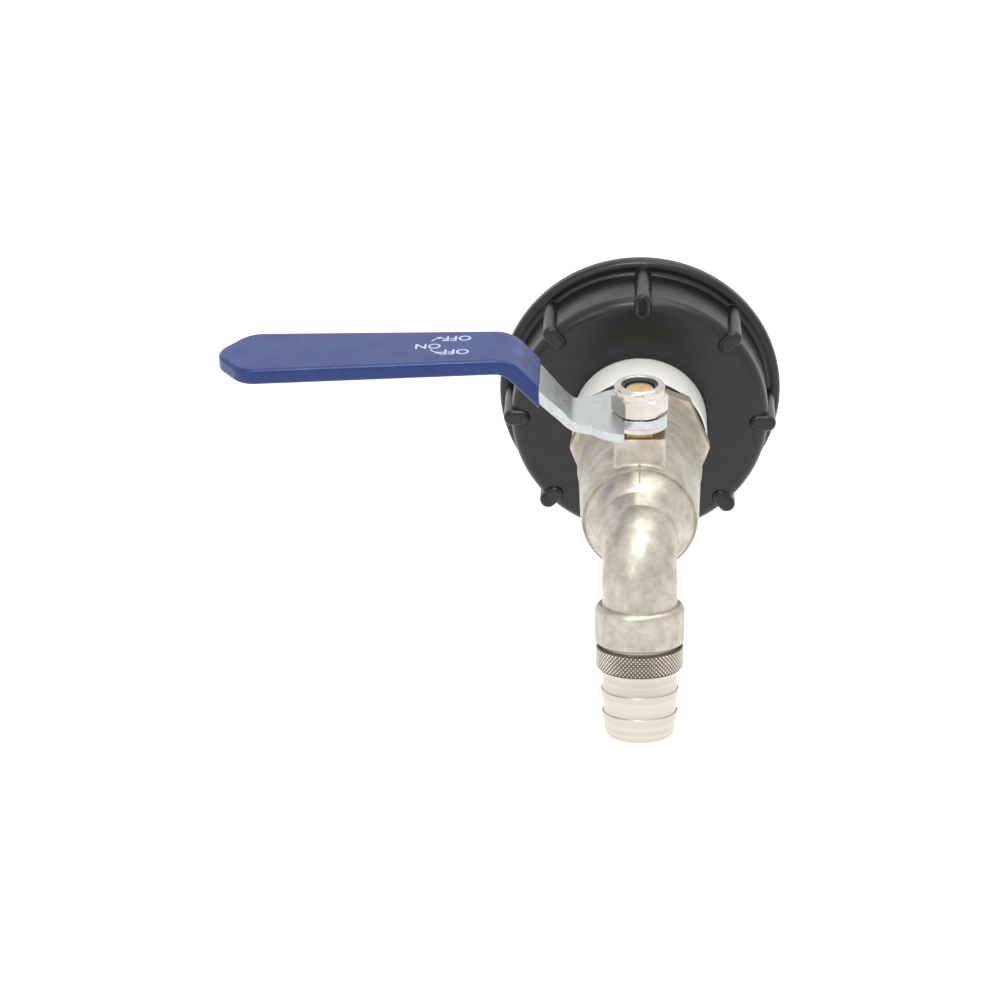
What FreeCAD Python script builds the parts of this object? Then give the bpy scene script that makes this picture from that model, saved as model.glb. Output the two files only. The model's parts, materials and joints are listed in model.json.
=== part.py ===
"""Tote tank valve: a lever ball tap on a screwed tank coupling, with a screwed hose tail.

Frame, in millimetres: the origin is the centre of the coupling cap's mouth, +Y points
into the tank along the cap's axis, +Z is up along the valve stem, and the closed lever
points to -X.  "Ahead" is the distance from the cap's mouth along -Y.
"""
import FreeCAD, Part
import math
import os

Vector = FreeCAD.Vector
FULL_TURN = 360.0
SAME_POINT = 1e-6              # points closer than this are one point
FLAT_ENOUGH = 1e-3             # an edge thinner than this lies in a plane

# ---- Fits between pieces -------------------------------------------------------------
running_clearance = 0.3       # between pieces that move past each other without bearing
bearing_clearance = 0.08      # between pieces that bear on each other and turn
seat_clearance = 0.1          # between pieces that are fixed to each other
thread_clearance = 0.1        # radial, male thread in female thread

# ---- Coupling cap, with an S60 x 6 tank thread ---------------------------------------
cap_height = 24.6
cap_face_wall = 3.8
cap_flange_radius = 40.4
cap_flange_thickness = 5.0
cap_flange_rounding = 1.8
cap_barrel_radius = 36.4
cap_barrel_root_fillet = 1.2
cap_shoulder_fillet = 3.4
tank_thread_radius = 30.0     # S60 nominal
tank_thread_length = 13.2
thread_relief_depth = 0.6
grip_rib_count = 8
grip_rib_inner_radius = 31.0  # from the cap's axis to each rib's inner end
grip_rib_outer_radius = 38.5
grip_rib_width = 4.8
grip_rib_stand_proud = 1.2    # beyond the cap's face
grip_rib_rounding = 1.3
grip_rib_turn = 1.5           # degrees that the ribs are turned from upright

# ---- Nylon thread insert and the seals in the cap ------------------------------------
insert_flange_radius = 27.2
insert_flange_thickness = 4.0
insert_neck_radius = 18.9
insert_neck_stand_out = 13.5  # beyond the cap's face
insert_neck_chamfer = 0.6
insert_lip_length = 6.0       # unthreaded lip at the tank end
insert_lip_bore_radius = 14.5
inlet_thread_radius = 16.6    # G1
inlet_thread_gap = 1.0        # from the connector's end to the insert's lip
gasket_thickness = 3.0
gasket_hole_radius = 20.0
o_ring_section = 1.6
o_ring_groove_radius = 17.0   # inner radius of the groove

# ---- Inlet connector, the octagon piece ----------------------------------------------
octagon_across_flats = 36.0
octagon_length = 5.8
octagon_chamfer = 1.1
octagon_corner_rounding = 1.2
connector_band_length = 13.7
connector_band_radius = 17.1
connector_band_draft = 0.25
connector_bore_radius = 12.4
connector_throat_radius = 8.2
connector_throat_length = 6.0
body_thread_radius = 15.0
connector_nose_length = 2.2
body_seal_thickness = 0.8

# ---- Ball, seats and stem ------------------------------------------------------------
stem_ahead = 80.3             # of the stem's axis
ball_radius = 12.4
ball_bore_radius = 7.75
ball_slot_width = 5.2
ball_slot_depth = 2.6
seat_bore_radius = 8.0
seat_thickness = 4.2
seat_back_from_stem = 11.4    # from the stem's axis to each seat's back face
ball_chamber_clearance = 0.3
front_pocket_radius = 11.4
stem_radius = 4.5
stem_flange_radius = 6.2
stem_flange_thickness = 1.9
stem_tang_length = 8.4
stem_tang_gap = 0.6           # from the ball's top to the stem's flange
thrust_washer_thickness = 1.0
packing_chamber_radius = 5.6
packing_height = 2.3

# ---- Tap body ------------------------------------------------------------------------
chamber_rear_radius = 16.75
chamber_rear_chamfer = 0.5
chamber_front_radius = 15.8   # also the dome's radius
dome_ahead = 84.7             # of the dome's centre
dome_ridge_angle = 16.0       # from the dome's equator to the ridge in front of the chamber
dome_ridge_step = 0.5
boss_half_width = 6.8
boss_top_height = 22.7
boss_edge_rounding = 0.8
boss_root_fillet = 1.0
spout_radius = 9.8
spout_bore_radius = 7.3
spout_bend_radius = 10.0
spout_bend_ahead = 99.5       # where the bend starts
spout_tilt = 10.5             # degrees that the outlet leans forward from straight down
spout_root_flare = 1.6
collar_radius = 11.7
collar_from_bend = 5.3
collar_length = 10.2
collar_floor_thickness = 1.5
collar_shoulder_rounding = 1.7
collar_edge_chamfer = 0.4
tail_thread_radius = 10.48    # G1/2

# ---- Gland, lever and lock nut -------------------------------------------------------
gland_across_flats = 11.6
gland_head_height = 1.3
gland_shank_length = 2.4
lever_washer_radius = 7.4
lever_washer_thickness = 1.2
lever_thickness = 2.5
lever_hub_radius = 7.4
lever_disc_radius = 15.8
lever_shoulder_from_stem = 4.0
lever_waist_from_stem = 20.2
lever_waist_half_width = 7.35
lever_arm_from_stem = 26.0
lever_arm_half_width = 8.9
lever_end_half_width = 11.85
lever_end_from_stem = 103.0   # where the sides turn in towards the tip
lever_end_corner_radius = 6.1
lever_tip_from_stem = 110.9   # where the two slanted ends would meet
lever_tip_radius = 6.9
lever_rise_from_stem = 17.15  # where the arm starts to rise
lever_rise_angle = 47.0
lever_rise = 18.0             # from the hub's top to the arm's top
lever_droop = 1.4             # degrees that the arm falls towards its end
lever_rise_bend_radius = 3.0
lever_arm_bend_radius = 9.0
lever_flat_half_width = 3.0   # half the stem's width across its two flats
sleeve_wall = 0.9
sleeve_from_stem = 26.2
sleeve_edge_rounding = 1.1
lever_thread_radius = 4.0     # M8
nut_across_flats = 13.0
nut_height = 7.9
nut_hex_height = 5.2
nut_collar_radius = 6.7
nut_rim_radius = 4.8
nut_rim_thickness = 0.8
nut_ring_radius = 5.4
nut_ring_height = 2.3
stem_end_below_rim = 1.4

# ---- Hose tail -----------------------------------------------------------------------
tail_washer_thickness = 1.0
tail_washer_hole_radius = 7.6
tail_gap_length = 1.1
tail_gap_radius = 10.0
tail_ring_radius = 11.5
tail_ring_length = 6.0
tail_ring_chamfer = 0.7
tail_neck_radius = 9.8
tail_neck_length = 5.6
tail_bore_radius = 7.2
barb_count = 2
barb_length = 6.1
barb_radius = 10.2
barb_shrink = 0.27            # each barb's radius less than the one before
barb_taper = 0.75
tail_tip_length = 0.9
tail_tip_rounding = 2.4

# ---- Worked-out places ---------------------------------------------------------------
floor_ahead = cap_height - cap_face_wall
flange_front_ahead = floor_ahead - running_clearance
flange_rear_ahead = flange_front_ahead - insert_flange_thickness
gasket_rear_ahead = flange_rear_ahead - gasket_thickness
insert_front_ahead = cap_height + insert_neck_stand_out
octagon_rear_ahead = insert_front_ahead
octagon_front_ahead = octagon_rear_ahead + octagon_length
band_front_ahead = octagon_front_ahead + connector_band_length
connector_rear_ahead = flange_rear_ahead + insert_lip_length + inlet_thread_gap
rear_seat_ahead = stem_ahead - seat_back_from_stem
front_seat_ahead = stem_ahead + seat_back_from_stem
ball_chamber_radius = ball_radius + ball_chamber_clearance
nose_rear_ahead = rear_seat_ahead - seat_clearance - connector_nose_length
body_seal_front_ahead = nose_rear_ahead + body_seal_thickness
stem_flange_bottom = ball_radius + stem_tang_gap
stem_flange_top = stem_flange_bottom + stem_flange_thickness
guide_bottom = stem_flange_top + thrust_washer_thickness + seat_clearance
packing_bottom = boss_top_height - gland_shank_length - packing_height
washer_bottom = boss_top_height + gland_head_height + running_clearance
lever_bottom = washer_bottom + lever_washer_thickness
lever_top = lever_bottom + lever_thickness
nut_top = lever_top + nut_height
stem_top = nut_top - stem_end_below_rim
spout_turn = 90.0 - spout_tilt
collar_end = collar_from_bend + collar_length
socket_floor = collar_from_bend + collar_floor_thickness
tail_washer_start = socket_floor + seat_clearance
tail_thread_start = tail_washer_start + tail_washer_thickness
tail_ring_start = collar_end + tail_gap_length
tail_ring_end = tail_ring_start + tail_ring_length
barbs_start = tail_ring_end + tail_neck_length
tail_end = barbs_start + barb_count * barb_length + tail_tip_length


# ---- Ways of placing a flat outline --------------------------------------------------
def about_cap_axis(radius, ahead):
    """A point of an outline that is turned about the cap's axis."""
    return Vector(radius, -ahead, 0)


def about_stem_axis(radius, height):
    """A point of an outline that is turned about the stem's axis."""
    return Vector(radius, -stem_ahead, height)


def about_own_axis(radius, along):
    """A point of an outline that is turned about Z, before it is put on the spout."""
    return Vector(radius, 0, along)


def in_plan(left, aside):
    """A point of the lever seen from above, from the stem's axis."""
    return Vector(-left, -stem_ahead + aside, 0)


def in_side_view(left, height):
    """A point of the lever seen from the front."""
    return Vector(-left, -stem_ahead, height)


# ---- Outlines ------------------------------------------------------------------------
def unit(start, end):
    """Direction from one flat point to another."""
    length = math.hypot(end[0] - start[0], end[1] - start[1])
    return ((end[0] - start[0]) / length, (end[1] - start[1]) / length)


def rounded_corner(before, corner, after):
    """Start, middle and end of the arc that rounds a corner, given as (a, b, radius)."""
    back, onward = unit(corner, before), unit(corner, after)
    half = math.acos(back[0] * onward[0] + back[1] * onward[1]) / 2
    radius = corner[2]
    reach = radius / math.tan(half)
    to_centre = radius / math.sin(half)
    middle = ((back[0] + onward[0]), (back[1] + onward[1]))
    size = math.hypot(*middle)
    inward = (to_centre - radius) / size
    start = (corner[0] + back[0] * reach, corner[1] + back[1] * reach)
    end = (corner[0] + onward[0] * reach, corner[1] + onward[1] * reach)
    return start, (corner[0] + middle[0] * inward, corner[1] + middle[1] * inward), end


def path_edges(corners, place, closed):
    """Straight edges through the corners, with an arc at each corner that has a radius."""
    edges, last, count = [], None, len(corners)
    order = range(count) if closed else range(1, count - 1)
    if not closed:
        last = place(corners[0][0], corners[0][1])
    first = None
    for index in order:
        corner = corners[index]
        if len(corner) > 2 and corner[2] > 0:
            ends = rounded_corner(corners[index - 1], corner, corners[(index + 1) % count])
            start, middle, end = [place(*point) for point in ends]
            arc = Part.Arc(start, middle, end).toShape()
        else:
            start = end = place(corner[0], corner[1])
            arc = None
        if last is not None and last.distanceToPoint(start) > SAME_POINT:
            edges.append(Part.LineSegment(last, start).toShape())
        if arc is not None:
            edges.append(arc)
        first = first or start
        last = end
    final = first if closed else place(corners[-1][0], corners[-1][1])
    if last.distanceToPoint(final) > SAME_POINT:
        edges.append(Part.LineSegment(last, final).toShape())
    return edges


def outline(corners, place):
    """A flat face inside a closed outline of corners."""
    return Part.Face(Part.Wire(path_edges(corners, place, True)))


def turned_on_cap_axis(corners):
    """A solid turned about the cap's axis from (radius, ahead, rounding) corners."""
    return outline(corners, about_cap_axis).revolve(Vector(0, 0, 0), Vector(0, 1, 0), FULL_TURN)


def turned_on_stem_axis(corners):
    """A solid turned about the stem's axis from (radius, height, rounding) corners."""
    foot = Vector(0, -stem_ahead, 0)
    return outline(corners, about_stem_axis).revolve(foot, Vector(0, 0, 1), FULL_TURN)


def turned_on_spout(corners):
    """A solid turned about the outlet's axis from (radius, distance past the bend, rounding)."""
    solid = outline(corners, about_own_axis).revolve(Vector(0, 0, 0), Vector(0, 0, 1), FULL_TURN)
    solid.Placement = FreeCAD.Placement(spout_start(), FreeCAD.Rotation(Vector(0, 0, 1), spout_way()))
    return solid


def rod(radius, start, end):
    """A plain round rod between two points."""
    return Part.makeCylinder(radius, start.distanceToPoint(end), start, end - start)


def ring_on_cap_axis(inner, outer, rear, front):
    """A plain ring about the cap's axis."""
    return turned_on_cap_axis([(inner, rear), (outer, rear), (outer, front), (inner, front)])


def ring_on_stem_axis(inner, outer, bottom, top):
    """A plain ring about the stem's axis."""
    return turned_on_stem_axis([(inner, bottom), (outer, bottom), (outer, top), (inner, top)])


def edges_along(solid, way):
    """The straight edges of a solid that run along a direction."""
    return [edge for edge in solid.Edges
            if len(edge.Vertexes) == 2 and abs(edge.tangentAt(edge.FirstParameter).dot(way)) > 0.99]


def prism(sides, across_flats, corner_angle, centre, way, length):
    """A bar of regular section; corner_angle is where its first corner points."""
    reach = across_flats / 2 / math.cos(math.pi / sides)
    turns = [math.radians(corner_angle + FULL_TURN * side / sides) for side in range(sides + 1)]
    points = [Vector(reach * math.cos(turn), reach * math.sin(turn), 0) for turn in turns]
    bar = Part.Face(Part.makePolygon(points)).extrude(Vector(0, 0, length))
    bar.Placement = FreeCAD.Placement(centre, FreeCAD.Rotation(Vector(0, 0, 1), way))
    return bar


# ---- The outlet's line ---------------------------------------------------------------
def spout_way():
    """Direction in which the outlet points."""
    tilt = math.radians(spout_tilt)
    return Vector(0, -math.sin(tilt), -math.cos(tilt))


def spout_start():
    """Centre of the spout where its bend ends and its straight run begins."""
    turn = math.radians(spout_turn)
    ahead = spout_bend_ahead + spout_bend_radius * math.sin(turn)
    return Vector(0, -ahead, -spout_bend_radius * (1 - math.cos(turn)))


def spout_pipe(radius, from_ahead, straight_length):
    """A round bar that runs forward from a place on the cap's axis, round the bend and down."""
    bend_start = Vector(0, -spout_bend_ahead, 0)
    hinge = bend_start + Vector(0, 0, -spout_bend_radius)
    level = rod(radius, Vector(0, -from_ahead, 0), bend_start)
    disc = Part.Face(Part.Wire(Part.makeCircle(radius, bend_start, Vector(0, -1, 0))))
    bend = disc.revolve(hinge, Vector(1, 0, 0), spout_turn)
    start = spout_start()
    drop = rod(radius, start, start + spout_way() * straight_length)
    return level.fuse([bend, drop])


# ---- Pieces of the coupling ----------------------------------------------------------
def grip_rib(turn):
    """One grip rib with round ends and a soft front, at an angle round the cap."""
    half = grip_rib_width / 2
    front = cap_height + grip_rib_stand_proud

    def in_section(aside, height):
        return Vector(aside, -cap_flange_thickness / 2, height)

    corners = [
        (half, grip_rib_inner_radius, half),
        (half, grip_rib_outer_radius, half),
        (-half, grip_rib_outer_radius, half),
        (-half, grip_rib_inner_radius, half),
    ]
    rib = outline(corners, in_section).extrude(Vector(0, cap_flange_thickness / 2 - front, 0))
    ends = [edge for edge in rib.Edges if edge.BoundBox.YMax < SAME_POINT - front]
    rib = rib.makeFillet(grip_rib_rounding, ends)
    rib.rotate(Vector(0, 0, 0), Vector(0, 1, 0), turn)
    return rib


def make_coupling_cap():
    """Black moulded cap: flange, barrel, soft shoulder, eight grip ribs and the tank thread."""
    neck_hole = insert_neck_radius + running_clearance + seat_clearance
    relief = tank_thread_radius + thread_relief_depth
    body = turned_on_cap_axis([
        (tank_thread_radius, 0),
        (cap_flange_radius, 0, cap_flange_rounding),
        (cap_flange_radius, cap_flange_thickness, cap_flange_rounding),
        (cap_barrel_radius, cap_flange_thickness, cap_barrel_root_fillet),
        (cap_barrel_radius, cap_height, cap_shoulder_fillet),
        (neck_hole, cap_height),
        (neck_hole, floor_ahead),
        (relief, floor_ahead),
        (relief, tank_thread_length),
        (tank_thread_radius, tank_thread_length),
    ])
    ribs = [grip_rib(grip_rib_turn + FULL_TURN * index / grip_rib_count)
            for index in range(grip_rib_count)]
    bore = rod(relief, Vector(0, 0, 0), Vector(0, -floor_ahead, 0))
    return body.fuse([rib.cut(bore) for rib in ribs]).removeSplitter()


def make_sealing_gasket():
    """Flat rubber ring that the tank's neck presses on."""
    return ring_on_cap_axis(
        gasket_hole_radius, insert_flange_radius, gasket_rear_ahead, flange_rear_ahead)


def make_thread_insert():
    """White nylon insert: a flange behind the cap's face and a neck with a female G1 thread."""
    lip_ahead = flange_rear_ahead + insert_lip_length
    return turned_on_cap_axis([
        (insert_lip_bore_radius, flange_rear_ahead),
        (insert_flange_radius, flange_rear_ahead),
        (insert_flange_radius, flange_front_ahead),
        (insert_neck_radius, flange_front_ahead),
        (insert_neck_radius, insert_front_ahead - insert_neck_chamfer),
        (insert_neck_radius - insert_neck_chamfer, insert_front_ahead),
        (inlet_thread_radius, insert_front_ahead),
        (inlet_thread_radius, lip_ahead),
        (insert_lip_bore_radius, lip_ahead),
    ])


def make_inlet_o_ring():
    """Rubber ring in the octagon's rear face, against the insert."""
    middle = o_ring_groove_radius + o_ring_section / 2
    centre = Vector(0, -(octagon_rear_ahead + o_ring_section / 2), 0)
    return Part.makeTorus(middle, (o_ring_section - seat_clearance) / 2, centre, Vector(0, 1, 0))


# ---- Pieces of the valve body --------------------------------------------------------
def make_inlet_connector():
    """Octagon piece: G1 thread behind, a drafted band and a thread into the body in front."""
    thread = inlet_thread_radius - thread_clearance
    screwed = body_thread_radius - thread_clearance
    nose = ball_chamber_radius - seat_clearance
    nose_front = rear_seat_ahead - seat_clearance
    core = turned_on_cap_axis([
        (connector_bore_radius, connector_rear_ahead),
        (thread - seat_clearance, connector_rear_ahead),
        (thread, connector_rear_ahead + 1),
        (thread, octagon_rear_ahead),
        (connector_band_radius + connector_band_draft, octagon_rear_ahead),
        (connector_band_radius + connector_band_draft, octagon_front_ahead),
        (connector_band_radius, band_front_ahead),
        (screwed, band_front_ahead),
        (screwed, nose_rear_ahead),
        (nose, nose_rear_ahead),
        (nose, nose_front),
        (connector_throat_radius, nose_front),
        (connector_throat_radius, nose_front - connector_throat_length),
        (connector_bore_radius, nose_front - 2 * connector_throat_length),
    ])
    octagon = prism(8, octagon_across_flats, 0, Vector(0, -octagon_rear_ahead, 0),
                    Vector(0, -1, 0), octagon_length)
    octagon = octagon.makeFillet(octagon_corner_rounding, edges_along(octagon, Vector(0, 1, 0)))
    corner = octagon_across_flats / 2 / math.cos(math.pi / 8)
    eased = turned_on_cap_axis([
        (0, octagon_rear_ahead),
        (corner - octagon_chamfer, octagon_rear_ahead),
        (corner, octagon_rear_ahead + octagon_chamfer),
        (corner, octagon_front_ahead - octagon_chamfer),
        (corner - octagon_chamfer, octagon_front_ahead),
        (0, octagon_front_ahead),
    ])
    bore = rod(inlet_thread_radius - thread_clearance, Vector(0, -octagon_rear_ahead, 0),
               Vector(0, -octagon_front_ahead, 0))
    groove = ring_on_cap_axis(o_ring_groove_radius, o_ring_groove_radius + o_ring_section,
                              octagon_rear_ahead, octagon_rear_ahead + o_ring_section)
    return core.fuse(octagon.common(eased).cut(bore)).cut(groove).removeSplitter()


def make_body_seal_ring():
    """Thin sealing ring between the connector and the step in the body."""
    return ring_on_cap_axis(ball_chamber_radius, body_thread_radius - thread_clearance,
                            nose_rear_ahead, body_seal_front_ahead)


def dome_face():
    """Outline of the chamber and its domed front, with the low ridge in front of the chamber."""
    ridge = math.radians(dome_ridge_angle)
    inner = chamber_front_radius - dome_ridge_step

    def on_dome(radius, angle):
        return about_cap_axis(radius * math.cos(angle), dome_ahead + radius * math.sin(angle))

    rim = about_cap_axis(chamber_rear_radius - chamber_rear_chamfer, band_front_ahead)
    rear = about_cap_axis(chamber_rear_radius, band_front_ahead + chamber_rear_chamfer)
    start, step = on_dome(chamber_front_radius, 0), on_dome(chamber_front_radius, ridge)
    inside, pole = on_dome(inner, ridge), on_dome(inner, math.pi / 2)
    middle_front = on_dome(inner, (ridge + math.pi / 2) / 2)
    axis_rear = about_cap_axis(0, band_front_ahead)
    edges = [
        Part.LineSegment(axis_rear, rim).toShape(),
        Part.LineSegment(rim, rear).toShape(),
        Part.LineSegment(rear, start).toShape(),
        Part.Arc(start, on_dome(chamber_front_radius, ridge / 2), step).toShape(),
        Part.LineSegment(step, inside).toShape(),
        Part.Arc(inside, middle_front, pole).toShape(),
        Part.LineSegment(pole, axis_rear).toShape(),
    ]
    return Part.Face(Part.Wire(edges))


def stem_boss():
    """Square boss on top of the chamber that carries the stem."""
    side = 2 * boss_half_width
    corner = Vector(-boss_half_width, -stem_ahead - boss_half_width, 0)
    block = Part.makeBox(side, side, boss_top_height, corner)
    return block.makeFillet(boss_edge_rounding, edges_along(block, Vector(0, 0, 1)))


def boss_on_chamber(chamber):
    """The chamber with its stem boss, and a soft fillet where they meet."""
    joined = chamber.fuse(stem_boss()).removeSplitter()
    reach = boss_half_width + SAME_POINT
    root = []
    for edge in joined.Edges:
        box = edge.BoundBox
        near = max(abs(box.XMin), abs(box.XMax)) < reach and abs(-box.Center.y - stem_ahead) < reach
        if near and box.ZMax < boss_top_height - boss_edge_rounding and box.ZMin > 0:
            root.append(edge)
    return joined.makeFillet(boss_root_fillet, root)


def spout_root():
    """Flared root where the spout leaves the dome."""
    front = spout_bend_ahead
    rear = dome_ahead + chamber_front_radius * math.cos(math.radians(50))
    return turned_on_cap_axis([
        (0, dome_ahead),
        (spout_radius + spout_root_flare, dome_ahead),
        (spout_radius + spout_root_flare, rear),
        (spout_radius, front),
        (0, front),
    ])


def make_tap_body():
    """Forged body: ball chamber with a domed front, stem boss, bent spout and threaded collar."""
    chamber = dome_face().revolve(Vector(0, 0, 0), Vector(0, 1, 0), FULL_TURN)
    spout = spout_pipe(spout_radius, dome_ahead, collar_from_bend)
    collar = turned_on_spout([
        (0, collar_from_bend),
        (collar_radius, collar_from_bend, collar_shoulder_rounding),
        (collar_radius, collar_end - collar_edge_chamfer),
        (collar_radius - collar_edge_chamfer, collar_end),
        (0, collar_end),
    ])
    outside = boss_on_chamber(chamber).fuse([spout_root(), spout, collar])
    chamber_room = turned_on_cap_axis([
        (0, band_front_ahead),
        (body_thread_radius, band_front_ahead),
        (body_thread_radius, body_seal_front_ahead),
        (ball_chamber_radius, body_seal_front_ahead),
        (ball_chamber_radius, front_seat_ahead - seat_thickness),
        (front_pocket_radius, front_seat_ahead - seat_thickness),
        (front_pocket_radius, front_seat_ahead),
        (0, front_seat_ahead),
    ])
    stem_room = turned_on_stem_axis([
        (0, 0),
        (stem_flange_radius + running_clearance, 0),
        (stem_flange_radius + running_clearance, guide_bottom),
        (stem_radius + running_clearance, guide_bottom),
        (stem_radius + running_clearance, packing_bottom),
        (packing_chamber_radius, packing_bottom),
        (packing_chamber_radius, boss_top_height),
        (0, boss_top_height),
    ])
    channel = spout_pipe(spout_bore_radius, front_seat_ahead - seat_thickness, socket_floor)
    socket = turned_on_spout([
        (0, socket_floor),
        (tail_thread_radius, socket_floor),
        (tail_thread_radius, collar_end),
        (0, collar_end),
    ])
    return outside.cut([chamber_room, stem_room, channel, socket]).removeSplitter()


def make_seat(back_ahead, way, outer_radius):
    """PTFE seat ring; way is +1 when the ball lies ahead of it and -1 when it lies behind."""
    front = back_ahead + way * seat_thickness
    ring = ring_on_cap_axis(seat_bore_radius, outer_radius, min(back_ahead, front),
                            max(back_ahead, front))
    hollow = Part.makeSphere(ball_radius + bearing_clearance, Vector(0, -stem_ahead, 0))
    return ring.cut(hollow)


def make_rear_seat():
    """Seat between the connector's nose and the ball."""
    return make_seat(rear_seat_ahead, 1, ball_chamber_radius - seat_clearance)


def make_front_seat():
    """Seat between the ball and the outlet."""
    return make_seat(front_seat_ahead, -1, front_pocket_radius - seat_clearance)


def make_ball():
    """Plated ball, closed: its bore lies across the flow and its slot along it."""
    centre = Vector(0, -stem_ahead, 0)
    ball = Part.makeSphere(ball_radius, centre)
    reach = Vector(ball_radius, 0, 0)
    bore = rod(ball_bore_radius, centre - reach, centre + reach)
    slot_floor = ball_radius - ball_slot_depth
    slot = Part.makeBox(ball_slot_width, 2 * ball_radius, ball_slot_depth,
                        Vector(-ball_slot_width / 2, -stem_ahead - ball_radius, slot_floor))
    return ball.cut([bore, slot])


# ---- Stem, gland, lever and nut ------------------------------------------------------
def two_flats(radius, half_width, bottom, top):
    """A round bar on the stem's axis with two flats, at +X and -X."""
    bar = rod(radius, Vector(0, -stem_ahead, bottom), Vector(0, -stem_ahead, top))
    slab = Part.makeBox(2 * half_width, 4 * radius, top - bottom,
                        Vector(-half_width, -stem_ahead - 2 * radius, bottom))
    return bar.common(slab)


def make_stem():
    """Brass stem: tang in the ball's slot, thrust flange, two flats for the lever and a thread."""
    tang_width = ball_slot_width - 2 * seat_clearance
    tang_bottom = ball_radius - ball_slot_depth + seat_clearance
    tang = Part.makeBox(tang_width, stem_tang_length, stem_flange_bottom - tang_bottom,
                        Vector(-tang_width / 2, -stem_ahead - stem_tang_length / 2, tang_bottom))
    thread = lever_thread_radius - thread_clearance
    shaft = turned_on_stem_axis([
        (0, stem_flange_bottom),
        (stem_flange_radius, stem_flange_bottom),
        (stem_flange_radius, stem_flange_top),
        (stem_radius, stem_flange_top),
        (stem_radius, lever_bottom),
        (0, lever_bottom),
    ])
    flats = two_flats(lever_thread_radius, lever_flat_half_width, lever_bottom, lever_top)
    end = turned_on_stem_axis([
        (0, lever_top),
        (thread, lever_top),
        (thread, stem_top - thread_clearance * 4),
        (thread - thread_clearance * 4, stem_top),
        (0, stem_top),
    ])
    return shaft.fuse([tang, flats, end])


def make_thrust_washer():
    """PTFE washer between the stem's flange and the body."""
    return ring_on_stem_axis(stem_radius + bearing_clearance, stem_flange_radius,
                             stem_flange_top + bearing_clearance, guide_bottom)


def make_stem_packing():
    """PTFE packing round the stem under the gland nut."""
    return ring_on_stem_axis(stem_radius + bearing_clearance,
                             packing_chamber_radius - seat_clearance, packing_bottom,
                             packing_bottom + packing_height)


def make_gland_nut():
    """Brass gland nut screwed into the boss."""
    hole = stem_radius + running_clearance
    shank = ring_on_stem_axis(hole, packing_chamber_radius - thread_clearance,
                              packing_bottom + packing_height, boss_top_height)
    head = prism(6, gland_across_flats, 0, Vector(0, -stem_ahead, boss_top_height),
                 Vector(0, 0, 1), gland_head_height)
    bore = rod(hole, Vector(0, -stem_ahead, 0), Vector(0, -stem_ahead, lever_top))
    return shank.fuse(head.cut(bore)).removeSplitter()


def make_lever_washer():
    """Plated washer between the gland nut and the lever's hub."""
    return ring_on_stem_axis(stem_radius + seat_clearance, lever_washer_radius, washer_bottom,
                             lever_bottom)


def lever_line(drop):
    """Corners of the lever's top line in side view, moved down square to itself by drop."""
    rise, droop = math.radians(lever_rise_angle), math.radians(lever_droop)
    run = lever_rise / math.tan(rise)
    knee = (lever_rise_from_stem + run, lever_top + lever_rise)
    reach = lever_tip_from_stem + lever_tip_radius - knee[0]
    ways = [(1.0, 0.0), (math.cos(rise), math.sin(rise)), (math.cos(droop), -math.sin(droop))]
    bends = [lever_rise_bend_radius, lever_arm_bend_radius]
    signs = [1, -1]
    corners = [(-lever_disc_radius, lever_top), (lever_rise_from_stem, lever_top), knee,
               (knee[0] + reach, knee[1] - reach * math.tan(droop))]
    line = [(corners[0][0], corners[0][1] - drop)]
    for index, corner in enumerate(corners[1:3]):
        before, after = ways[index], ways[index + 1]
        share = drop / (1 + before[0] * after[0] + before[1] * after[1])
        moved = (corner[0] + (before[1] + after[1]) * share,
                 corner[1] - (before[0] + after[0]) * share)
        line.append((*moved, bends[index] + signs[index] * drop))
    line.append((corners[3][0] + ways[2][1] * drop, corners[3][1] - ways[2][0] * drop))
    return line


def bent_strip(above, below):
    """A wide strip that follows the lever's line, from above its top face to below its bottom."""
    top, bottom = lever_line(-above), lever_line(lever_thickness + below)
    edges = path_edges(top, in_side_view, False)
    edges.append(Part.LineSegment(in_side_view(*top[-1]), in_side_view(*bottom[-1])).toShape())
    edges += path_edges(bottom, in_side_view, False)
    edges.append(Part.LineSegment(in_side_view(*top[0]), in_side_view(*bottom[0])).toShape())
    face = Part.Face(Part.Wire(Part.sortEdges(edges)[0]))
    face.translate(Vector(0, -2 * lever_disc_radius, 0))
    return face.extrude(Vector(0, 4 * lever_disc_radius, 0))


def through_points(points):
    """A smooth curve through points of the plan."""
    curve = Part.BSplineCurve()
    curve.interpolate([in_plan(*point) for point in points])
    return curve.toShape()


def plan_prism(edges):
    """An upright block as tall as the lever, over an outline in plan."""
    face = Part.Face(Part.Wire(edges))
    return face.extrude(Vector(0, 0, 2 * nut_top))


def arm_corners(start, skin):
    """Corners of the arm's plan round its tip from one side to the other, with a skin added."""
    half_angle = math.atan2(lever_end_half_width, lever_tip_from_stem - lever_end_from_stem)
    end = (lever_end_from_stem + skin * math.tan(half_angle / 2), lever_end_half_width + skin,
           lever_end_corner_radius + skin)
    tip = (lever_tip_from_stem + skin / math.sin(half_angle), 0, lever_tip_radius + skin)
    return [(start, lever_arm_half_width + skin), end, tip, (end[0], -end[1], end[2]),
            (start, -lever_arm_half_width - skin)]


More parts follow.
